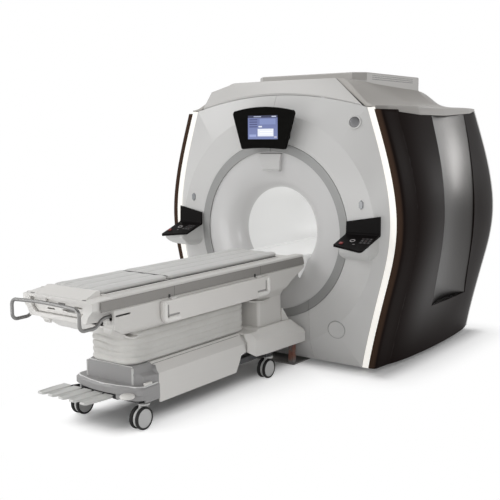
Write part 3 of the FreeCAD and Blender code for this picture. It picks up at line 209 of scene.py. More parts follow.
# %% [markdown]
# ## Moulded and painted surfaces
#
# Most of the machine is glass-fibre and injection-moulded plastic with a sprayed coat.
# Such a coat is never quite even: it has a faint orange peel, a slow drift in gloss and
# a little tone variation where hands and cloths have passed. One function gives all
# of these, with its scale and strength set for each finish.

# %% A sprayed or moulded coat
def tint(colour, factor):
    """The colour made lighter or darker by a factor."""
    return tuple(min(1.0, c * factor) for c in colour)


def coated(name, colour, rough, peel=260, bump=0.05, drift=0.03, **constants):
    """A coat with orange peel (fine noise as relief), and slow noise in tone and gloss."""
    finish = Finish(name, colour, rough, **constants)
    slow = finish.noise(2.3, 3)
    finish.vary(slow, tint(colour, 1 - drift), tint(colour, 1 + drift))
    finish.plug("Roughness", slow * 0.08 + (rough - 0.04))
    finish.relief(finish.noise(peel, 2), bump, 0.0004)
    return finish


def dress(finish, *names):
    """Gives solids of the frame their finish."""
    for name in names:
        solids[name].data.materials.clear()
        solids[name].data.materials.append(finish.material)


cover_white = coated("cover_white", (0.62, 0.615, 0.605), 0.34,
                     Coat_Weight=0.12, Coat_Roughness=0.15)
flare_white = coated("flare_white", (0.64, 0.635, 0.63), 0.30,
                     Coat_Weight=0.25, Coat_Roughness=0.1)
roof_grey = coated("roof_grey", (0.56, 0.55, 0.535), 0.42)
band_grey = coated("band_grey", (0.32, 0.32, 0.315), 0.40, Metallic=0.15)
dress(cover_white, "front_cover_right", "front_cover_left", "front_cover_lower", "rear_cover",
      "camera_housing")
dress(flare_white, "front_flare", "rear_flare")
dress(roof_grey, "top_fascia")
dress(band_grey, "trim_ring")
# a darker copy of the roof's grey: painted shade on the slopes
slope_shade_grey = coated("slope_shade_grey", (0.43, 0.41, 0.385), 0.42)
dress(slope_shade_grey, "top_slopes")
# the photograph shows the bore bright inside, which a little light of its own stands for
bore_white = coated("bore_white", (0.70, 0.70, 0.695), 0.30, Coat_Weight=0.3, Coat_Roughness=0.08,
                    Emission_Color=(1, 1, 0.99, 1), Emission_Strength=0.22)
dress(bore_white, "bore_liner", "bore_bridge")

# %% [markdown]
# ## The barrel sides
#
# The sides are dark brown lacquer with fine flake in it. A clear coat that lies only on
# their lower front stands for a soft sheen there. Beside the light strip the base colour
# turns, across the first few centimetres, to a warm glow: painted light from the strip.
# The channel is taken for silver paint. Its base colour is lighter above and darker
# below: a painted highlight at its upper end and painted shade lower down.

# %% Brown lacquer and silver paint
def lacquered(name, strip_glow_share, glow, **constants):
    """Brown lacquer over flake; near the light strip, where a share worked out from Y is 1, its
    base colour turns to the glow: painted light from the strip.
    """
    finish = Finish(name, (0.012, 0.008, 0.007), 0.42, Specular_IOR_Level=0.02, **constants)
    flake = finish.noise(900, 1)
    plain = finish.blend(flake, (0.008, 0.005, 0.0045, 1), (0.020, 0.0135, 0.012, 1))
    finish.plug("Base Color", finish.blend(strip_glow_share(finish.axes()[1]), plain, (*glow, 1)))
    finish.plug("Roughness", finish.noise(3, 3) * 0.08 + 0.38)
    finish.relief(flake, 0.06, 0.0003)
    return finish


# the base colour near the strip's edge is a painted glow of the strip's light
side_brown = lacquered("side_brown", lambda y: y.ramp(-0.75, -0.812) ** 2, (0.17, 0.085, 0.045),
                       Coat_Roughness=0.36)
x, y, z = side_brown.axes()
front_part = y.ramp(0.55, -0.30) * y.ramp(-0.66, -0.25)
low_part = z.ramp(0.05, 0.60) * z.ramp(1.80, 0.70)
side_brown.plug("Coat Weight", front_part * low_part * 0.5)
dress(side_brown, "side_cover_right", "side_cover_left")

inset_silver = Finish("inset_silver", (0.11, 0.105, 0.10), 0.36, Metallic=0.8,
                      Specular_IOR_Level=0.2)
flake = inset_silver.noise(1400, 1)
x, y, z = inset_silver.axes()
# painted highlight and shade: the base colour is lighter towards the top and darker towards the
# bottom
painted_highlight_share = (z + (flake - 0.5) * 0.5).ramp(1.15, 1.75)
inset_silver.vary(painted_highlight_share, (0.060, 0.057, 0.055), (0.19, 0.185, 0.18))
inset_silver.plug("Roughness", flake * 0.10 + 0.31)
inset_silver.relief(flake, 0.05, 0.0002)
dress(inset_silver, "side_insets")

# the strips are lit from inside, so they give light of their own
strip_white = Finish("strip_white", (0.50, 0.49, 0.47), 0.45,
                     Emission_Color=(1.0, 0.975, 0.92, 1), Emission_Strength=0.62)
strip_white.relief(strip_white.noise(180, 2), 0.05, 0.0004)
strip_white.plug("Roughness", strip_white.noise(30, 2) * 0.1 + 0.3)
dress(strip_white, "light_strips")

# %% [markdown]
# ## The roof's turret
#
# The turret hides the cold head and breathes through a field of small round holes in
# its right side. Cutting hundreds of holes would cost many faces and show little, so
# a distance to the nearest point of a square lattice darkens the coat there: painted
# shade for the inside of each hole. The rest of the coat is a little darker than the
# roof's, painted shade on the turret.

# %% A coat with a field of vent holes
turret_grey = Finish("turret_grey", (0.56, 0.55, 0.535), 0.42)
x, y, z = turret_grey.axes()


def lattice(wire, pitch):
    """How far the value is from the nearest multiple of the pitch."""
    offset = wire.maths("PINGPONG", wire, pitch / 2)
    return pitch / 2 - offset


pitch = 0.016
reach = (lattice(y + 0.002, pitch) ** 2 + lattice(z, pitch) ** 2) ** 0.5
field = x.between(0.4895, 0.60) * y.between(-0.12, 0.66) * z.between(2.285, 2.330)
hole = reach.ramp(0.0052, 0.0040) * field
# dark spots are painted shade inside the holes; the coat around them is darker than the roof's,
# also painted shade
turret_grey.vary(hole, (0.50, 0.485, 0.465), (0.05, 0.05, 0.05))
turret_grey.plug("Roughness", turret_grey.noise(4, 2) * 0.08 + 0.38)
turret_grey.relief(turret_grey.noise(260, 2) * 0.1 - hole, 0.3, 0.001)
dress(turret_grey, "turret_cover")

# %% [markdown]
# ## Display, trays and other small solids
#
# The display's housing and the control trays are piano-black plastic, so they live
# from sharp reflections over a fine haze of fingerprints.

# %% Black plastic and the plain finishes
black_gloss = Finish("black_gloss", (0.005, 0.005, 0.004), 0.16, Specular_IOR_Level=0.03)
smear = black_gloss.noise(14, 4, stretch=(1, 1, 2.5))
black_gloss.plug("Roughness", smear * 0.16 + 0.10)
black_gloss.vary(smear, (0.003, 0.003, 0.0025), (0.007, 0.0065, 0.006))
dress(black_gloss, "display_housing")

tray_black = coated("tray_black", (0.007, 0.006, 0.006), 0.34, peel=700, bump=0.10,
                    Specular_IOR_Level=0.05)
dress(tray_black, "control_panel_right", "control_panel_left")
bracket_white = coated("bracket_white", (0.62, 0.62, 0.61), 0.42)
dress(bracket_white, "panel_brackets")
lens_grey = coated("lens_grey", (0.26, 0.27, 0.28), 0.22, Coat_Weight=0.5)
dress(lens_grey, "cover_sensors")
button_red = coated("button_red", (0.22, 0.02, 0.02), 0.30, drift=0.08, Coat_Weight=0.3)
dress(button_red, "stop_button_right", "stop_button_left")
table_white = coated("table_white", (0.72, 0.705, 0.68), 0.36, Coat_Weight=0.1)
dress(table_white, "base_skirt", "head_fairing", "cradle", "end_cap")
shell_white = coated("shell_white", (0.64, 0.625, 0.60), 0.38, Coat_Weight=0.1)
dress(shell_white, "table_shell")
board_white = coated("board_white", (0.72, 0.70, 0.675), 0.40)
dress(board_white, "side_board_right", "side_board_left")
foot_grey = coated("foot_grey", (0.31, 0.305, 0.305), 0.40, drift=0.05)
dress(foot_grey, "foot_cover")
pedal_grey = coated("pedal_grey", (0.60, 0.60, 0.585), 0.42, peel=500, bump=0.12, drift=0.06)
dress(pedal_grey, *("foot_pedal_%d" % k for k in range(1, 6)))
fork_grey = coated("fork_grey", (0.55, 0.55, 0.54), 0.40)
places = [end + side for end in ("foot_", "head_") for side in ("left", "right")]
dress(fork_grey, *("caster_fork_" + place for place in places))
print("finishes so far:", len(bpy.data.materials))

# %% [markdown]
# Hidden and metal pieces still get what they really are: painted steel for the
# magnet's vessel and base, wound resin for the coils, and a brushed steel tube for the
# push handle. Brushing is noise stretched a hundredfold along the tube.

# %% Metals and the inner machine
vessel_paint = coated("vessel_paint", (0.60, 0.61, 0.62), 0.5, peel=90, bump=0.15)
dress(vessel_paint, "magnet_vessel", "magnet_base", "cold_head")
coil_resin = coated("coil_resin", (0.30, 0.22, 0.12), 0.5, peel=60, bump=0.3, drift=0.15)
dress(coil_resin, "gradient_coil", "body_coil")
frame_black = coated("frame_black", (0.035, 0.035, 0.037), 0.45, peel=150, bump=0.2, drift=0.2)
dress(frame_black, "table_frame", "lift_cylinder")
dock_steel = coated("dock_steel", (0.20, 0.19, 0.185), 0.5, peel=120, bump=0.2, drift=0.2)
x, y, z = dock_steel.axes()
rust = z.ramp(0.02, 0.05) * dock_steel.noise(30, 3).ramp(0.25, 0.6)
dock_steel.vary(rust, (0.20, 0.19, 0.185), (0.24, 0.10, 0.07))
dress(dock_steel, "dock_anchor")


def brushed(name, colour, rough, stretch, **constants):
    """Metal whose fine scratches run along one axis: noise squeezed across it."""
    finish = Finish(name, colour, rough, Metallic=1.0, **constants)
    scratch = finish.noise(60, 3, stretch=stretch)
    finish.vary(scratch, tint(colour, 0.9), tint(colour, 1.08))
    finish.plug("Roughness", scratch * 0.2 + (rough - 0.1))
    finish.relief(scratch, 0.08, 0.0003)
    return finish


dress(brushed("handle_steel", (0.25, 0.247, 0.243), 0.44, (1, 40, 40)), "push_handle")
dress(brushed("post_steel", (0.6, 0.6, 0.6), 0.2, (40, 40, 1)), "lift_post")

rail_taupe = Finish("rail_taupe", (0.26, 0.25, 0.235), 0.42, Metallic=0.2)
x, y, z = rail_taupe.axes()
length_wise = rail_taupe.noise(60, 3, stretch=(20, 1, 20))
seam = abs(y + 2.475).least(abs(y + 1.52)).ramp(0.0022, 0.0008)
rail_tone = rail_taupe.blend(length_wise, (0.235, 0.225, 0.212, 1), (0.285, 0.273, 0.258, 1))
rail_taupe.plug("Base Color", rail_taupe.blend(seam, rail_tone, (0.05, 0.05, 0.05, 1)))
rail_taupe.plug("Roughness", length_wise * 0.12 + 0.36)
rail_taupe.relief(length_wise * 0.15 - seam, 0.3, 0.001)
dress(rail_taupe, "side_rails")

# %% [markdown]
# ## What the screen shows
#
# The screen shows a blue page with a header, a few short rows at the left and a pale
# box at the lower right. All of it is simple fields of colour: a field is 1 inside a
# rectangle of the screen's own X and Z, and rows are a field times a square wave.

# %% The screen's picture
screen = Finish("screen_picture", (0.02, 0.02, 0.03), 0.12, Emission_Strength=1.0)
low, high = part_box("display_screen")
x, y, z = screen.axes()
across = (x - low.x) * (1 / (high.x - low.x))
up = (z - low.z) * (1 / (high.z - low.z))
picture = screen.blend(up, (0.17, 0.21, 0.42, 1), (0.12, 0.15, 0.33, 1))
rows = (up * 62.8).wave() > 0.1


def field(left, right, floor, top):
    """1 inside a rectangle given in shares of the screen's width and height."""
    return across.between(left, right) * up.between(floor, top)


for mask, colour in (
        (field(0, 1, 0.90, 1), (0.015, 0.02, 0.06, 1)),
        (field(0.20, 0.45, 0.935, 0.965), (0.5, 0.55, 0.7, 1)),
        (field(0.80, 0.95, 0.93, 0.97), (0.6, 0.65, 0.8, 1)),
        (field(0.05, 0.32, 0.50, 0.86) * rows, (0.05, 0.06, 0.17, 1)),
        (field(0.40, 0.93, 0.62, 0.86), (0.20, 0.25, 0.48, 1)),
        (field(0.36, 0.48, 0.50, 0.56), (0.75, 0.78, 0.85, 1)),
        (field(0.33, 0.86, 0.12, 0.44), (0.80, 0.83, 0.90, 1)),
        (field(0.40, 0.82, 0.18, 0.38) * rows, (0.93, 0.94, 0.97, 1)),
        (field(0.05, 0.28, 0.10, 0.20), (0.30, 0.36, 0.62, 1)),
        (field(0.88, 0.97, 0.06, 0.12), (0.5, 0.5, 0.6, 1))):
    picture = screen.blend(mask, picture, colour)
screen.plug("Emission Color", picture)
screen.plug("Roughness", screen.noise(20, 2) * 0.06 + 0.10)
dress(screen, "display_screen")

# %% [markdown]
# ## Surfaces from arrays
#
# Each added piece is a surface worked out with numpy: a grid of points, or a row of
# rings, whose faces follow from the grid's own order. A ring of rings closes on itself
# as a torus does, and an open row of rings is closed with a fan at each end.

# %% Grids to meshes
BODY_OF = {node: body for body, group in frame["record"]["behaviour"]["bodies"].items()
           for node in group}


def skin(rings, closed=False):
    """Points and faces over rings of points (rows, count, 3). The corner numbers of a
    quad are row * count + column; an open stack of rings ends in two fans."""
    rows, count = rings.shape[:2]
    points = rings.reshape(-1, 3)
    row = np.arange(rows if closed else rows - 1)[:, None]
    col = np.arange(count)[None, :]
    after, beside = (row + 1) % rows, (col + 1) % count
    quads = np.stack([row * count + col, row * count + beside,
                      after * count + beside, after * count + col], axis=-1)
    faces = quads.reshape(-1, 4).tolist()
    if not closed:
        points = np.vstack([points, rings[0].mean(0), rings[-1].mean(0)])
        col, beside = col[0], beside[0]
        last = (rows - 1) * count
        faces += np.stack([beside, col, np.full(count, len(points) - 2)], 1).tolist()
        faces += np.stack([col + last, beside + last, np.full(count, len(points) - 1)], 1).tolist()
    return points, faces


def piece(name, skins, finish, node):
    """One object from several skins: in place in its mesh, smooth, normals outward, and
    riding on the body that carries a solid of the frame."""
    starts = np.cumsum([0] + [len(points) for points, _ in skins])
    points = np.vstack([points for points, _ in skins])
    faces = [[corner + int(start) for corner in face]
             for (_, group), start in zip(skins, starts) for face in group]
    mesh = bpy.data.meshes.new(name)
    mesh.from_pydata(points.tolist(), [], faces)
    working = bmesh.new()
    working.from_mesh(mesh)
    bmesh.ops.recalc_face_normals(working, faces=working.faces)
    working.to_mesh(mesh)
    working.free()
    mesh.polygons.foreach_set("use_smooth", np.ones(len(mesh.polygons), bool))
    mesh.materials.append(finish.material)
    made = bpy.data.objects.new(name, mesh)
    bpy.context.scene.collection.objects.link(made)
    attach(made, BODY_OF[node])
    return made


def unit(vectors):
    """Each vector divided by its own length."""
    return vectors / np.linalg.norm(vectors, axis=-1, keepdims=True)


def rounded(corners, radius, steps=7):
    """A flat outline (count, 2) whose corners are arcs. An arc's centre lies on the
    corner's bisector at radius / sin(half angle), and its points turn evenly from one
    tangent point to the other."""
    corner = np.asarray(corners, float)
    back = unit(np.roll(corner, 1, 0) - corner)
    on = unit(np.roll(corner, -1, 0) - corner)
    half = np.arccos(np.clip((back * on).sum(-1), -1, 1))[:, None] / 2
    centre = corner + unit(back + on) * radius / np.sin(half)
    start = corner + back * radius / np.tan(half) - centre
    end = corner + on * radius / np.tan(half) - centre
    turn = (np.pi - 2 * half)[:, None]
    share = np.linspace(0, 1, steps)[None, :, None]
    arc = (np.sin((1 - share) * turn) * start[:, None] + np.sin(share * turn) * end[:, None])
    return (arc / np.sin(turn) + centre[:, None]).reshape(-1, 2)


def slab(outline, low, high, edge, steps=5):
    """Rings (rows, count, 3) of a flat body whose edges are quarter circles: at angle a
    the ring is drawn in by edge * (1 - cos a) and lies edge * (1 - sin a) from the face."""
    along = unit(np.roll(outline, -1, 0) - np.roll(outline, 1, 0))
    outward = np.stack([along[:, 1], -along[:, 0]], 1)
    angle = np.linspace(0, np.pi / 2, steps)
    inset = edge * (1 - np.cos(angle))
    rise = edge * (1 - np.sin(angle))
    inset = np.concatenate([inset[::-1], inset])
    height = np.concatenate([low + rise[::-1], high - rise])
    flat = outline[None] - outward[None] * inset[:, None, None]
    level = np.broadcast_to(height[:, None, None], flat.shape[:2] + (1,))
    return np.concatenate([flat, level], -1)


def lathe(profile, count=48):
    """Rings of a turned form: a profile point (radius, height) goes round the third axis
    as (radius cos a, radius sin a, height)."""
    profile = np.asarray(profile, float)
    angle = np.linspace(0, 2 * np.pi, count, endpoint=False)[None]
    radius, height = profile[:, :1], profile[:, 1:]
    return np.stack([radius * np.cos(angle), radius * np.sin(angle),
                     height + 0 * angle], -1)


def trail(corners, radius, gap=0.003):
    """A path through corners, with its turns rounded: it has a point every few
    millimetres, and each is replaced by the mean of its neighbours within the radius."""
    corners = np.asarray(corners, float)
    run = np.concatenate([[0], np.linalg.norm(np.diff(corners, axis=0), axis=1).cumsum()])
    stations = np.linspace(0, run[-1], int(run[-1] / gap) + 2)
    points = np.stack([np.interp(stations, run, corners[:, k]) for k in range(3)], 1)
    reach = max(int(radius / gap), 1)
    points = np.concatenate([2 * points[:1] - points[reach:0:-1], points,
                             2 * points[-1:] - points[-2:-reach - 2:-1]])
    window = np.full(2 * reach + 1, 1 / (2 * reach + 1))
    return np.stack([np.convolve(points[:, k], window, "valid") for k in range(3)], 1)


def bead(path, wide, high, out, count=14):
    """Rings of a rounded bead along a path: at angle a a point lies wide * cos a beside
    the path and high * sin a above it. Near both ends the bead shrinks as a quarter
    ellipse does, so it closes softly."""
    along = unit(np.gradient(path, axis=0))
    beside = unit(np.cross(along, out))
    run = np.concatenate([[0], np.linalg.norm(np.diff(path, axis=0), axis=1).cumsum()])
    room = np.clip(1 - np.minimum(run, run[-1] - run) / max(wide, high), 0, 0.98)
    full = np.sqrt(1 - room ** 2)[:, None, None]
    angle = np.linspace(0, 2 * np.pi, count, endpoint=False)[None, :, None]
    above = np.asarray(out, float)[None, None]
    section = wide * np.cos(angle) * beside[:, None] + high * np.sin(angle) * above
    return path[:, None] + full * section


def bar(corners, radius, wide, high, out, count=14, gap=0.003):
    """The skin of a bead that follows corners."""
    return skin(bead(trail(corners, radius, gap), wide, high, out, count))


def placed(rings, origin, across, up, out):
    """Rings moved from their own three axes to a place and three directions."""
    return np.asarray(origin, float) + rings @ np.array([across, up, out], float)


def fitting(name, rings, spot, finish, node, closed=False):
    """A piece of one skin, set on a spot: an origin with three directions."""
    return piece(name, [skin(placed(rings, **spot), closed)], finish, node)


# %% [markdown]
# ## The patient pads
#
# Two pads lie on the cradle, covered in soft grey vinyl over foam. Their sides bulge
# a little and three sewn channels run lengthwise. The bulge is what air pressure does
# to cloth, so a slightly small block is remeshed, blown up for twenty steps of cloth
# simulation, and its travel is capped. The channels are pressed in afterwards, because
# the remesh would erase them: a sum of narrow bell curves lowers the top.

# %% Vinyl, and pads blown up as cloth
pad_vinyl = Finish("pad_vinyl", (0.46, 0.455, 0.44), 0.46, Sheen_Weight=0.15, Sheen_Roughness=0.5)
leather_grain = pad_vinyl.node("ShaderNodeTexVoronoi", {"feature": "DISTANCE_TO_EDGE"},
                               {"Vector": pad_vinyl.place(), "Scale": 420})
wrinkle = pad_vinyl.noise(9, 4, stretch=(3, 1, 3))
pad_vinyl.vary(wrinkle, (0.56, 0.555, 0.54), (0.64, 0.635, 0.62))
pad_vinyl.plug("Roughness", wrinkle * 0.14 + 0.40)
pad_vinyl.relief(leather_grain.ramp(0, 0.12) * 0.2 + wrinkle, 0.28, 0.0012)


def coordinates(mesh):
    """The mesh's points as an array (count, 3)."""
    flat = np.empty(len(mesh.vertices) * 3)
    mesh.vertices.foreach_get("co", flat)
    return flat.reshape(-1, 3)


def evaluated_mesh(thing):
    """A copy of the object's mesh with its modifiers applied."""
    graph = bpy.context.evaluated_depsgraph_get()
    return bpy.data.meshes.new_from_object(thing.evaluated_get(graph))


def blow_up(cushion, voxel, pressure, cap):
    """Remesh, then twenty steps of cloth under pressure; no point travels past the cap."""
    remesh = cushion.modifiers.new("remesh", "REMESH")
    remesh.mode, remesh.voxel_size = "VOXEL", voxel
    even = evaluated_mesh(cushion)
    cushion.modifiers.clear()
    cushion.data = even
    before = coordinates(even)
    cloth = cushion.modifiers.new("cloth", "CLOTH")
    cloth.settings.use_pressure = True
    cloth.settings.uniform_pressure_force = pressure
    cloth.settings.effector_weights.gravity = 0
    for step in range(1, 21):
        bpy.context.scene.frame_set(step)
    travel = coordinates(evaluated_mesh(cushion)) - before
    cushion.modifiers.clear()
    length = np.linalg.norm(travel, axis=1, keepdims=True)
    travel *= np.minimum(1, cap / np.maximum(length, 1e-9))
    cushion.data.vertices.foreach_set("co", (before + travel).ravel())
    bpy.context.scene.frame_set(1)


CHANNELS = np.array([-0.118, 0.0, 0.118])


def sew_channels(cushion, low, high):
    """Lowers the top by a bell curve at each channel, and keeps the pad in its space."""
    points = coordinates(cushion.data)
    top = np.clip((points[:, 2] - low) / (high - low), 0, 1) ** 2
    near = points[:, 0][:, None] - CHANNELS[None]
    press = np.exp(-(near / 0.0055) ** 2).sum(1) * 0.0075
    crown = 0.0025 * np.cos(near * 2 * np.pi / 0.118).min(1)
    points[:, 2] += top * (-press - crown * 0.6)
    points[:, 2] = np.maximum(points[:, 2], low + 0.0004)
    cushion.data.vertices.foreach_set("co", points.ravel())
    cushion.data.update()


def cushion(name, outline, node):
    """A pad: a rounded slab, blown up, subdivided once and sewn."""
    low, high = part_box(node)
    body = slab(rounded(outline, 0.022), low.z + 0.0015, high.z - 0.004, 0.009)
    made = piece(name, [skin(body)], pad_vinyl, node)
    blow_up(made, 0.0075, 4, 0.006)
    finer = made.modifiers.new("finer", "SUBSURF")
    finer.levels = finer.render_levels = 1
    fine = evaluated_mesh(made)
    made.modifiers.clear()
    made.data = fine
    sew_channels(made, low.z, high.z)
    fine.polygons.foreach_set("use_smooth", np.ones(len(fine.polygons), bool))
    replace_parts(made, node)
    print(name, "faces", len(fine.polygons))


low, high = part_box("pad_foot")
x0, x1 = low.x + 0.004, high.x - 0.004
cushion("vinyl_pad_foot", [(x0, low.y + 0.004), (x1, low.y + 0.004), (x1, high.y - 0.002),
                           (x0, high.y - 0.002)], "pad_foot")
low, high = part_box("pad_head")
cushion("vinyl_pad_head", [(x0, low.y + 0.002), (x1, low.y + 0.002), (x1, high.y - 0.036),
                           (x1 - 0.030, high.y - 0.004), (x0 + 0.030, high.y - 0.004),
                           (x0, high.y - 0.036)], "pad_head")

# %% [markdown]
# ## The bellows
#
# A pleated sleeve of coated cloth hides the lift. In plan it is a rounded rectangle,
# and in height each pleat swells out and draws in again. A plain zigzag looks like tin:
# real pleats hang full along the straight sides, where only a thin valley is left
# between them, and crumple round the foot end, where the cloth has to turn. So the
# depth of the valleys and the unevenness both follow the place in plan.

# %% Pleats round a rounded rectangle
sleeve_cloth = Finish("sleeve_cloth", (0.60, 0.59, 0.565), 0.55, Sheen_Weight=0.1)
cloudy = sleeve_cloth.noise(6, 4)
sleeve_cloth.vary(cloudy, (0.57, 0.56, 0.535), (0.67, 0.66, 0.635))
sleeve_cloth.plug("Roughness", cloudy * 0.15 + 0.46)
sleeve_cloth.relief(sleeve_cloth.noise(38, 4, stretch=(1, 1, 3)), 0.25, 0.003)

PLEATS, PLEAT_DEPTH, SIDE_FILL, FOOT_FILL = 5, 0.017, 0.0115, 0.0075
low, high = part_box("bellows")
shrink = PLEAT_DEPTH + 0.001
plan = [(low.x + shrink, low.y + shrink), (high.x - shrink, low.y + shrink),
        (high.x - shrink, high.y - shrink), (low.x + shrink, high.y - shrink)]
# arcs at the corners, and as many points on the straight sides that pleats can wander there
arcs = rounded(plan, 0.085, steps=24).reshape(4, 24, 2)
start, end = arcs[:, -1:], np.roll(arcs, -1, 0)[:, :1]
straight = start + (end - start) * np.linspace(0, 1, 49)[None, 1:-1, None]
valley = np.concatenate([arcs, straight], 1).reshape(-1, 2)
along = unit(np.roll(valley, -1, 0) - np.roll(valley, 1, 0))
outward = np.stack([along[:, 1], -along[:, 0]], 1)
rise = np.linspace(0, 1, PLEATS * 14 + 1)[:, None]
x, y = valley[None, :, 0], valley[None, :, 1]
foot = 1 / (1 + np.exp((y - (low.y + 0.16)) / 0.035))
wander = (0.5 + 0.3 * np.sin(19 * y + 7 * x) + 0.2 * np.sin(43 * y - 17 * x)) * (1 - 0.5 * foot)
mid = np.sin(np.pi * rise)                          # 0 at both ends of the sleeve, 1 half way
phase = rise * PLEATS + (0.16 * foot * np.sin(23 * x + 9 * y) + 0.05 * wander) * mid
ridge = np.abs(np.sin(np.pi * phase)) ** (0.55 + 0.35 * foot)
fill = (SIDE_FILL + (FOOT_FILL - SIDE_FILL) * foot) * mid ** 0.3
crumple = 1 + 0.14 * foot * np.sin(31 * x + 13 * y + 5 * phase) * mid
swell = np.minimum((fill + (PLEAT_DEPTH - fill) * ridge) * crumple, PLEAT_DEPTH)
flat = valley[None] + outward[None] * swell[..., None]
sag = (0.0015 + 0.003 * foot) * np.sin(2.1 * np.floor(phase) + 11 * x + 6 * y) * ridge
level = low.z + (high.z - low.z) * rise - sag * mid
sleeve = np.concatenate([flat, level[..., None]], -1)
inner = np.broadcast_to(valley - outward * 0.008, (2,) + valley.shape)
inner = np.concatenate([inner, np.array([high.z, low.z])[:, None, None] + 0 * inner[..., :1]], -1)
bellows = piece("pleated_sleeve", [skin(np.concatenate([sleeve, inner]), closed=True)],
                sleeve_cloth, "bellows")
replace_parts(bellows, "bellows")
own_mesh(bellows)
print("sleeve points:", sleeve.shape[0] * sleeve.shape[1])

# %% [markdown]
# ## Twin-wheel casters
#
# Each caster carries two wheels side by side: a dark tyre round a pale dished disc.
# Both are turned forms. The tyre's profile is a closed loop, so the lathe closes it as
# a ring; the disc's profile runs from the hub over the dish to its rim and back. A pale
# round hood fills the room between the two wheels and turns with the fork.

# %% Tyres and discs
tyre_rubber = Finish("tyre_rubber", (0.022, 0.022, 0.023), 0.55, Specular_IOR_Level=0.12)
dust = tyre_rubber.noise(40, 4)
tyre_rubber.vary(dust, (0.016, 0.016, 0.017), (0.042, 0.041, 0.040))
tyre_rubber.plug("Roughness", dust * 0.25 + 0.42)
tyre_rubber.relief(tyre_rubber.noise(500, 2), 0.15, 0.0004)
disc_grey = coated("disc_grey", (0.52, 0.52, 0.515), 0.36, peel=300)

TYRE = [(0.0610, 0.0135), (0.0610, 0.0340), (0.0640, 0.0366), (0.0685, 0.0372), (0.0725, 0.0350),
        (0.0744, 0.0310), (0.0749, 0.0250), (0.0744, 0.0190), (0.0725, 0.0150), (0.0680, 0.0130)]
DISC = [(0.0, 0.0355), (0.008, 0.0357), (0.022, 0.0352), (0.045, 0.0340), (0.054, 0.0344),
        (0.0585, 0.0352), (0.0609, 0.0338), (0.0609, 0.0150), (0.0560, 0.0140), (0.0, 0.0140)]
HOOD = [(0.0090, -0.0102), (0.0640, -0.0102), (0.0665, -0.0080), (0.0665, 0.0080), (0.0640, 0.0102),
        (0.0090, 0.0102)]
for place in places:
    wheel = "caster_wheel_" + place
    low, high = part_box(wheel)
    centre = (low + high) / 2
    tyres, discs = [], []
    for side in (1, -1):
        spot = dict(origin=centre, across=(0, 1, 0), up=(0, 0, 1), out=(side, 0, 0))
        tyres.append(skin(placed(lathe(TYRE, 64), **spot), closed=True))
        discs.append(skin(placed(lathe(DISC[1:-1], 64), **spot)))
    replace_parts(piece("tyres_" + place, tyres, tyre_rubber, wheel), wheel)
    piece("discs_" + place, discs, disc_grey, wheel)
    spot = dict(origin=centre, across=(0, 1, 0), up=(0, 0, 1), out=(1, 0, 0))
    fitting("hood_" + place, lathe(HOOD, 64), spot, fork_grey, "caster_fork_" + place,
            closed=True)
print("casters:", len(places))

# %% [markdown]
# ## Finding the cover's surface
#
# Small fittings sit on a domed cover, so their place in depth and their tilt come from
# the cover itself: a ray from in front, along +Y, meets its solid at a point and gives
# the normal there.

# %% A ray onto a solid
def tree_of(*names):
    """A search tree over the faces of some solids."""
    points, faces = [], []
    for name in names:
        mesh, start = solids[name].data, len(points)
        points += [v.co.copy() for v in mesh.vertices]
        faces += [[start + i for i in face.vertices] for face in mesh.polygons]
    return BVHTree.FromPolygons(points, faces)


def seat_on(tree, start, way):
    """The point where a ray meets the solids, with two directions on the surface and
    its normal: across is level, and up leans with the surface."""
    spot, normal, _, _ = tree.ray_cast(Vector(start), Vector(way))
    if normal.dot(Vector(way)) > 0:
        normal = -normal
    across = normal.cross(Vector((0, 0, 1))).normalized() * -1
    up = normal.cross(across)
    return dict(origin=spot, across=across, up=up, out=normal)


covers = tree_of("front_cover_right", "front_cover_left", "front_cover_lower")

# %% [markdown]
# The badge at the upper right of the front cover is left bare here: a white collar
# round a plain grey dome with a fine spun finish. Below it, low on the same cover, a
# round cap closes a service port.

# %% A bare badge and a port cap
spun = Finish("spun_plate", (0.20, 0.20, 0.205), 0.34, Metallic=0.8)
spun_noise = spun.noise(160, 2)
spun.vary(spun_noise, (0.16, 0.16, 0.165), (0.24, 0.24, 0.245))
spun.plug("Roughness", spun_noise * 0.2 + 0.26)
spun.relief(spun_noise, 0.08, 0.0003)
spot = seat_on(covers, (0.732, -2.0, 1.935), (0, 1, 0))
collar = lathe([(0.0405, -0.005), (0.0405, 0.0035), (0.0425, 0.0056), (0.0500, 0.0064),
                (0.0530, 0.0044), (0.0540, -0.005)], 72)
dome = lathe([(0.0404, -0.003), (0.0404, 0.0022), (0.0330, 0.0036), (0.0190, 0.0046),
              (0.0020, 0.0050)], 72)
fitting("badge_collar", collar, spot, cover_white, "front_cover_right", closed=True)
fitting("badge_plate", dome, spot, spun, "front_cover_right")

spot = seat_on(covers, (0.604, -2.0, 0.322), (0, 1, 0))
cap = lathe([(0.0690, -0.004), (0.0690, 0.0026), (0.0675, 0.0042), (0.0630, 0.0048),
             (0.0550, 0.0030), (0.0020, 0.0034)], 72)
seal = lathe([(0.0705, -0.003), (0.0705, 0.0010), (0.0735, 0.0010), (0.0735, -0.003)], 72)
fitting("port_cap", cap, spot, cover_white, "front_cover_right")
fitting("port_seal", seal, spot, band_grey, "front_cover_right", closed=True)

# %% [markdown]
# ## Keys on the control trays
#
# The trays carry flat membrane keys. The two trays are mirror twins in shape, but
# their keys are laid out the same way round, with the group of keys to the right of
# the large round one. Each key is a thin rounded slab, and its mark is a plain shape:
# a bar, a dot or a triangle.

# %% Membrane keys and their marks
key_black = coated("key_black", (0.030, 0.028, 0.029), 0.38, peel=900, bump=0.08)
key_mark = coated("key_mark", (0.42, 0.40, 0.40), 0.5, peel=900)
key_rose = coated("key_rose", (0.30, 0.10, 0.10), 0.5, peel=900)
YAW, SLOPE = math.radians(7.4), 0.336


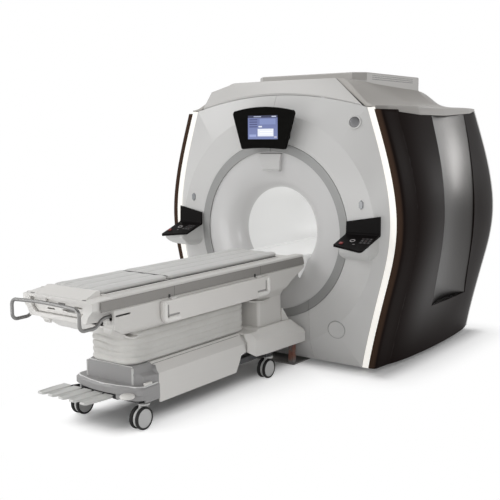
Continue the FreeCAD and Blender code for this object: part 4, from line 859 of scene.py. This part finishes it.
def tray(side, along_x, along_y):
    """A spot on the key tray of one side, from the tray's own X and Y in metres: the
    tray turns by the yaw about Z and climbs by the slope towards the cover."""
    turn = side * YAW
    across = Vector((math.cos(turn), math.sin(turn), 0))
    back = Vector((-math.sin(turn), math.cos(turn), 0))
    origin = Vector((side * 0.848, -0.897, 1.1007)) + across * along_x
    origin += (back + Vector((0, 0, SLOPE))) * along_y
    up = (back + Vector((0, 0, SLOPE))).normalized()
    return dict(origin=origin, across=across, up=up, out=across.cross(up))


def box_ring(wide, high, radius):
    """A rounded rectangle about its middle."""
    return rounded([(-wide, -high), (wide, -high), (wide, high), (-wide, high)], radius, 5)


BAR = box_ring(0.0042, 0.0011, 0.0006)
POINT = rounded([(-0.0040, -0.0028), (0.0040, -0.0028), (0.0, 0.0042)], 0.0006, 4)
turns = np.arange(6) * math.pi / 3
DOT = rounded(np.stack([np.cos(turns), np.sin(turns)], 1) * 0.0028, 0.001, 3)
KEY = box_ring(0.0125, 0.0125, 0.003)
KEY_STEP_X, KEY_STEP_Y = 0.030, 0.031
groups = {1: (0.034, -0.150), -1: (0.052, -0.140)}
for side, (left, front) in groups.items():
    hand = "right" if side > 0 else "left"
    panel = "control_panel_" + hand
    keys, marks, rose = [], [], []
    for column in range(3):
        for row in range(3):
            spot = tray(side, left + KEY_STEP_X * column, front + KEY_STEP_Y * row)
            keys.append(skin(placed(slab(KEY, -0.001, 0.0012, 0.0006, 3), **spot)))
            shape = (BAR, POINT, DOT)[(column + row) % 3]
            group = rose if (column, row) in ((0, 2), (1, 1)) else marks
            group.append(skin(placed(slab(shape, 0.001, 0.0015, 0.0001, 2), **spot)))
    ring = lathe([(0.0150, -0.001), (0.0150, 0.0016), (0.0180, 0.0020), (0.0210, 0.0014),
                  (0.0210, -0.001)])
    marks.append(skin(placed(ring, **tray(side, left - 0.075, front + 0.026)), closed=True))
    long_bar = slab(BAR * 2.2, 0.0, 0.0012, 0.0002, 2)
    marks.append(skin(placed(long_bar, **tray(side, left - 0.045, front - 0.030))))
    piece("keys_" + hand, keys, key_black, panel)
    piece("key_marks_" + hand, marks, key_mark, panel)
    piece("key_accents_" + hand, rose, key_rose, panel)

# %% [markdown]
# ## Fittings on the table
#
# Strap hooks clip under the taupe strips, a pale latch lies on the grey foot cover's
# ledge, and a mushroom-shaped brake pad stands beside the pedals. Dark plates in the
# end cap's slots are painted shade, and two small latches hold its upper edge.

# %% Hooks, latch, brake pad, painted slot shade and clasps
HOOK = rounded([(-0.007, -0.016), (0.007, -0.016), (0.009, 0.012), (-0.004, 0.012)], 0.003, 4)
hook_black = coated("hook_black", (0.02, 0.02, 0.02), 0.45, peel=300)
hooks = [skin(placed(slab(HOOK, -0.002, 0.005, 0.0015, 3), (side * 0.332, y, 0.832),
                     (0, -side, 0), (0, 0, 1), (side, 0, 0)))
         for y in (-2.524, -1.59) for side in (1, -1)]
piece("strap_hooks", hooks, hook_black, "side_rails")

LEVEL = dict(across=(1, 0, 0), up=(0, 1, 0), out=(0, 0, 1))
FACING = dict(across=(1, 0, 0), up=(0, 0, 1), out=(0, -1, 0))
latch = slab(box_ring(0.011, 0.036, 0.009), -0.006, 0.012, 0.005)
fitting("cover_latch", latch, dict(LEVEL, origin=(0.279, -2.690, 0.281)), table_white,
        "foot_cover")
brake = lathe([(0.0020, -0.016), (0.0300, -0.016), (0.0440, -0.011), (0.0490, -0.004),
               (0.0480, 0.004), (0.0400, 0.010), (0.0220, 0.0135), (0.0020, 0.0145)], 56)
fitting("brake_pad", brake, dict(LEVEL, origin=(0.232, -2.830, 0.228)), table_white,
        "foot_cover")

# a dark grey for the real seams under the bellows and for painted shade in the end cap's slots
seam_and_slot_shade_grey = coated("seam_and_slot_shade_grey", (0.16, 0.155, 0.15), 0.5, peel=400)
cap = tree_of("end_cap")
# dark plates in the end cap's slots: painted shade
slot_shades_and_clasps = [skin(placed(slab(box_ring(0.031, 0.0048, 0.0042), -0.004, 0.0022, 0.0008, 3),
                     origin=seat_on(cap, (x, -3.4, z), (0, 1, 0))["origin"], **FACING))
         for x, z in ((0.008, 0.849), (0.095, 0.813), (-0.057, 0.814), (-0.166, 0.842))]
clasp = slab(box_ring(0.017, 0.0055, 0.005), -0.004, 0.0045, 0.002, 4)
slot_shades_and_clasps += [skin(placed(clasp, origin=(x, -3.146, 0.8905), **LEVEL)) for x in (-0.245, 0.215)]
piece("cap_slot_shades_and_clasps", slot_shades_and_clasps, seam_and_slot_shade_grey, "end_cap")
print("fittings:", len(hooks) + len(slot_shades_and_clasps) + 2)

# %% [markdown]
# The arm boards have a thick rolled lip round each lower corner, to be gripped when the
# board is swung up. The lip is a shade lighter than the board, a painted highlight, and
# inside it a thin dark bead on the board's face is painted shade for a shallow groove.
# Lighter beads along the foot cover's ledge and down its front corners are painted
# highlights on its rounded edges. Dark beads at the foot of the pads and between them
# are painted shade in the gaps there, and two thin seams mark where the bellows meet
# the base. All of these are beads along a path.

# %% Rolled lips, painted highlights and shade, and seams
# lighter than the board for a painted highlight on the lips; dark for painted shade in the grooves
lip_highlight_white = coated("lip_highlight_white", (0.80, 0.785, 0.76), 0.38)
groove_shade_grey = coated("groove_shade_grey", (0.30, 0.295, 0.285), 0.5, peel=400)
BOARD_ENDS = ((-2.620, 1), (-1.440, -1))        # each end's Y, and the way into the board


def corner_path(x, end, way, inset, top, low, reach):
    """Down beside a board's end, round its lower corner and along its lower edge."""
    return [(x, end + way * inset, top), (x, end + way * inset, low), (x, end + way * reach, low)]


for side, hand in ((1, "right"), (-1, "left")):
    lips = [bar(corner_path(side * 0.3625, end, way, 0.021, 0.800, 0.688, 0.165),
                0.032, 0.0150, 0.0140, (1, 0, 0)) for end, way in BOARD_ENDS]
    # thin dark beads on the board's face: painted shade for the grooves
    grooves = [bar(corner_path(side * 0.3615, end, way, 0.050, 0.786, 0.714, 0.160),
                   0.018, 0.0075, 0.0016, (1, 0, 0), 8) for end, way in BOARD_ENDS]
    board = "side_board_" + hand
    piece("board_lips_" + hand, lips, lip_highlight_white, board)
    piece("board_groove_shades_" + hand, grooves, groove_shade_grey, board)

# lighter than the foot cover's grey: beads that are painted highlights on its rounded edges
edge_highlight_grey = coated("edge_highlight_grey", (0.72, 0.72, 0.715), 0.34, peel=500)
ledge = np.array([(0.2885, -2.604), (0.2925, -2.735), (0.278, -2.762), (0.249, -2.778),
                  (0.120, -2.810), (0.0, -2.8245)])
ledge = np.vstack([ledge, ledge[-2::-1] * (-1, 1)])
ledge = np.column_stack([ledge, np.full(len(ledge), 0.2745)])
# pale beads down the front corners: painted highlights on the rounded corners
corners = [bar([(x, -2.7500, 0.272), (x, -2.7495, 0.386)], 0.003, 0.0080, 0.0080, (0, -1, 0), 20)
           for x in (0.2055, -0.2055)]
piece("cover_corner_highlights", corners, fork_grey, "foot_cover")
edges = [bar(ledge, 0.012, 0.0058, 0.0045, (0, 0, 1)),
         bar([(0.2000, -2.744, 0.3885), (-0.2000, -2.744, 0.3885)],
             0.003, 0.0045, 0.0045, (0, 0, 1))]
piece("cover_edge_highlights", edges, edge_highlight_grey, "foot_cover")

foot_low, foot_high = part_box("pad_foot")
head_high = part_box("pad_head")[1]
side_x, seam_x = foot_high.x - 0.001, foot_high.x - 0.012
low_z, seam_z = foot_low.z + 0.001, foot_high.z - 0.0065
# dark beads in the gaps beside and between the pads: painted shade
paths = [[(side * side_x, foot_low.y + 0.02, low_z), (side * side_x, head_high.y - 0.05, low_z)]
         for side in (1, -1)]
paths.append([(-seam_x, foot_high.y, seam_z), (seam_x, foot_high.y, seam_z)])
piece("pad_gap_shades", [bar(path, 0.003, 0.0032, 0.0030, (0, 0, 1), 8, 0.02) for path in paths],
      hook_black, "cradle")

seams = [bar([(side * x, -2.598, z), (side * x, -1.655, z)],
             0.003, 0.0016, 0.0016, (0, 0, 1), 8, 0.02)
         for x, z in ((0.2065, 0.3965), (0.2265, 0.3825)) for side in (1, -1)]
piece("base_seams", seams, seam_and_slot_shade_grey, "base_skirt")
print("beads:", len(edges) + len(corners) + len(paths) + len(seams) + 8)

# %% [markdown]
# The brown sides roll round to the front, so that a thin brown band stands beside each
# light strip even where the side itself faces away. Its section lies just outside the
# strip's outer edge and is swept up along it. Rays along X, within the strip's thickness,
# find that edge at each height.

# %% Brown edges beside the light strips
# close to the strip the band's base colour turns to a painted glow of the strip's light
edge_brown = lacquered("edge_brown", lambda y: y.ramp(-0.800, -0.816), (0.055, 0.033, 0.023))
SECTION = np.array([(-0.009, -0.8148), (-0.004, -0.8166), (0.010, -0.8168), (0.028, -0.8150),
                    (0.041, -0.8080), (0.049, -0.7960), (0.053, -0.7800), (0.0560, -0.7550),
                    (0.0590, -0.7250), (0.0625, -0.6900), (0.0660, -0.6550), (0.0715, -0.6200),
                    (0.0775, -0.5880), (0.0700, -0.5850), (-0.008, -0.7100), (-0.012, -0.7990)])
EDGE_LOW, EDGE_TOP, INSIDE_STRIP = 0.036, 2.029, -0.8145
strips = tree_of("light_strips")
height = np.linspace(EDGE_LOW, EDGE_TOP, 90)
edge = np.array([strips.ray_cast(Vector((2, INSIDE_STRIP, z)), Vector((-1, 0, 0)))[0].x
                 for z in height])
for side, hand in ((1, "right"), (-1, "left")):
    rings = np.zeros((len(height), len(SECTION), 3))
    rings[..., 0] = side * (edge[:, None] + SECTION[None, :, 0])
    rings[..., 1] = SECTION[None, :, 1]
    rings[..., 2] = height[:, None]
    piece("side_edge_" + hand, [skin(rings)], edge_brown, "side_cover_" + hand)
print("edge from", edge.min().round(3), "to", edge.max().round(3))

# %% [markdown]
# ## Closing plates
#
# The solids of the moulded shells are open at their ends, where a real shell is taken
# to be closed: beside the end cap, with a long hole for each leg of the push handle, at
# both ends of the skirt, and under the edge of the deck in the bore. The flanks of the
# foot cover's solid have a small gap as well, which a patch covers.

# %% Plates in the shells' open ends
def around(corners, count):
    """Points at even steps round a closed outline, from its point at the far right."""
    corners = np.asarray(corners, float)
    corners = np.roll(corners, -int(np.argmax(corners[:, 0])), 0)
    closed = np.vstack([corners, corners[:1]])
    run = np.concatenate([[0], np.linalg.norm(np.diff(closed, axis=0), axis=1).cumsum()])
    stations = np.linspace(0, run[-1], count, endpoint=False)
    return np.stack([np.interp(stations, run, closed[:, k]) for k in (0, 1)], 1)


def frame_plate(outer, hole, front, back, count=96):
    """A plate with one hole, as four rings: outer edge at the back and at the front,
    hole at the front and at the back; the rings close on each other."""
    loops = [around(outer, count)] * 2 + [around(hole, count)] * 2
    return np.stack([np.insert(loop, 1, y, axis=1)
                     for loop, y in zip(loops, (back, front, front, back))])


SHELL_END = [(0.321, 0.709), (0.321, 0.836), (0.236, 0.836), (0.236, 0.676), (0.296, 0.676)]
LEG_HOLE = rounded([(0.287, 0.755), (0.314, 0.755), (0.314, 0.800), (0.287, 0.800)], 0.0134, 8)
plate = frame_plate(SHELL_END, LEG_HOLE, -3.0185, -3.0145)
piece("shell_end_plates", [skin(plate * (side, 1, 1), closed=True) for side in (1, -1)],
      table_white, "table_shell")

SKIRT_END = [(0.288, 0.262), (0.289, 0.330), (0.272, 0.350), (0.262, 0.382), (-0.262, 0.382),
             (-0.272, 0.350), (-0.289, 0.330), (-0.288, 0.262)]
end = slab(np.array(SKIRT_END[::-1]), 0, 0.004, 0.0005, 2)
fitting("fairing_end_plate", end, dict(FACING, origin=(0, -1.628, 0)), table_white,
        "head_fairing")

# the flank of the foot cover leans outwards and to the front: its level direction, its
# direction upwards and its normal
patch = slab(box_ring(0.050, 0.033, 0.006), -0.006, -0.0006, 0.0005, 2)
patches = [skin(placed(patch, (side * 0.2708, -2.6555, 0.2975), (side * 0.2885, 0.9575, 0),
                       (side * -0.1042, 0.0314, 0.9941), (side * 0.9518, -0.2868, 0.1088)))
           for side in (1, -1)]
piece("cover_patches", patches, foot_grey, "foot_cover")
fitting("skirt_end_plate", end, dict(FACING, origin=(0, -2.5965, 0)), foot_grey,
        "foot_cover")

CHEEK = [(-0.9165, 0.870), (-0.9165, 0.720), (-0.895, 0.705), (-0.740, 0.850), (-0.740, 0.870)]
cheek = slab(np.array(CHEEK), 0, 0.004, 0.0005, 2)
cheeks = [skin(placed(cheek, (side * 0.270, 0, 0), (0, 1, 0), (0, 0, 1), (1, 0, 0)))
          for side in (1, -1)]
piece("bridge_cheeks", cheeks, bore_white, "bore_bridge")
print("plates:", len(patches) + len(cheeks) + 4)

# %% [markdown]
# ## Floor, light and camera
#
# The photograph is a studio cut-out: a white ground that keeps a soft shadow close to
# the machine. The floor is a plain pale one. Only for rays that are seen it is lifted
# towards white with the distance from the machine and its table, whose plans are two
# rectangles: outside a rectangle, the distance is the length of the part of the
# point's offset that lies beyond its half sides.

# %% A floor that keeps the shadow
floor = Finish("floor_pale", (0.82, 0.82, 0.82), 0.7)
floor.vary(floor.noise(1.5, 2), (0.80, 0.80, 0.80), (0.84, 0.84, 0.84))
x, y, z = floor.axes()


def distance(middle, half_x, half_y):
    """How far a point of the floor is from a rectangle on the Y axis."""
    beyond_x = (abs(x) - half_x).most(0.0)
    beyond_y = (abs(y - middle) - half_y).most(0.0)
    return (beyond_x ** 2 + beyond_y ** 2) ** 0.5


GLOW_NEAR, GLOW_FAR = 0.45, 1.0
table, machine = distance(-1.87, 0.10, 0.90), distance(0.06, 0.98, 0.90)
# the lift falls away towards the machine and its table: a painted shadow round their plans, added
# to the shadows the lamps cast
lift = table.ramp(0.0, 0.22).least(machine.ramp(-0.09, 0.18))
clear = table.ramp(0.18, 0.78).least(machine.ramp(0.06, 0.45))
surface = Wire(floor, floor.shader.outputs[0])
glow = {share: floor.node("ShaderNodeEmission", sockets={"Color": (1, 1, 1, 1), "Strength": share})
        for share in (GLOW_NEAR, GLOW_FAR)}
lifted = floor.node("ShaderNodeAddShader", sockets={0: surface, 1: glow[GLOW_NEAR]})
raised = floor.mix(lift, surface, lifted)
seen = floor.mix(floor.seen(), surface, floor.mix(clear, raised, glow[GLOW_FAR]))
floor.plug("Surface", seen, floor.tree.nodes["Material Output"])

HALF = 60.0
mesh = bpy.data.meshes.new("studio_floor")
mesh.from_pydata([(-HALF, -HALF, 0), (HALF, -HALF, 0), (HALF, HALF, 0), (-HALF, HALF, 0)], [],
                 [(0, 1, 2, 3)])
mesh.materials.append(floor.material)
ground = bpy.data.objects.new("studio_floor", mesh)
bpy.context.scene.collection.objects.link(ground)

# %% [markdown]
# The world gives an even, weak fill. Rays that are seen find it white near the horizon,
# as the studio's backdrop is, and grey higher up, as its ceiling is. The key light
# stands at the left and in front, a broad light hangs overhead, two weak ones near the
# floor lift the table's shaded front and flank, and a narrow one behind at the right
# draws the bright streak in the silver channel.

# %% World and lamps
world = bpy.data.worlds.new("studio")
bpy.context.scene.world = world
world.use_nodes = True
sky = Network(world.node_tree, "Background")
sky.plug("Color", (1, 1, 1, 1))
sky.plug("Strength", 0.42)
direction = sky.node("ShaderNodeTexCoord", out="Generated")
upward = sky.node("ShaderNodeSeparateXYZ", sockets={0: direction}, out="Z")
ceiling = sky.node("ShaderNodeBackground", sockets={"Color": (1, 1, 1, 1), "Strength": 0.25})
backdrop = sky.node("ShaderNodeBackground", sockets={"Color": (1, 1, 1, 1), "Strength": 1.0})
studio = sky.mix(upward.ramp(0.17, 0.42), backdrop, ceiling)
sky.plug("Surface", sky.mix(sky.seen(), Wire(sky, sky.shader.outputs[0]), studio),
         sky.tree.nodes["World Output"])


def softbox(name, place, target, wide, high, watts):
    """A rectangular area light that looks at a point."""
    lamp = bpy.data.lights.new(name, "AREA")
    lamp.shape, lamp.size, lamp.size_y = "RECTANGLE", wide, high
    lamp.energy = watts
    made = bpy.data.objects.new(name, lamp)
    made.location = place
    made.rotation_euler = (Vector(target) - Vector(place)).to_track_quat("-Z", "Y").to_euler()
    bpy.context.scene.collection.objects.link(made)


softbox("key_left", (-4.2, -5.2, 4.6), (0.0, -1.2, 0.9), 3.5, 3.0, 120)
softbox("front_low", (-1.0, -5.4, 1.0), (0.0, -2.8, 0.5), 2.0, 1.2, 25)
softbox("fill_right", (2.2, -3.4, 1.6), (0.3, -2.3, 0.2), 1.2, 0.8, 12)
softbox("rear_right", (3.3, 4.3, 2.5), (1.0, 0.3, 1.5), 0.7, 1.6, 30)
softbox("overhead", (-0.6, -0.5, 6.0), (-0.2, -0.5, 0.0), 4.0, 5.0, 95)

# %% [markdown]
# The camera stands where the photographer stood: in front, to the right, at head
# height, with a portrait lens. Its three axes are worked out from its heading, its
# pitch and a slight roll, and make its matrix.

# %% Camera
PLACE, FOCAL_PIXELS, IMAGE_PIXELS, SENSOR = (3.879, -6.482, 1.864), 839.9, 500, 36.0
heading, pitch, roll = math.radians(36.27), math.radians(7.96), math.radians(-0.52)
level = Vector((math.cos(heading), math.sin(heading), 0))
ahead = Vector((-math.sin(heading), math.cos(heading), 0))
forward = ahead * math.cos(pitch) - Vector((0, 0, math.sin(pitch)))
upright = level.cross(forward)
right = level * math.cos(roll) + upright * math.sin(roll)
top = upright * math.cos(roll) - level * math.sin(roll)
lens = bpy.data.cameras.new("studio_camera")
lens.sensor_width, lens.lens, lens.clip_end = SENSOR, FOCAL_PIXELS / IMAGE_PIXELS * SENSOR, 200
camera = bpy.data.objects.new("studio_camera", lens)
turn = Matrix((right, top, -forward)).transposed().to_4x4()
camera.matrix_world = Matrix.Translation(PLACE) @ turn
bpy.context.scene.collection.objects.link(camera)
bpy.context.scene.camera = camera
bpy.context.scene.view_settings.view_transform = "Standard"
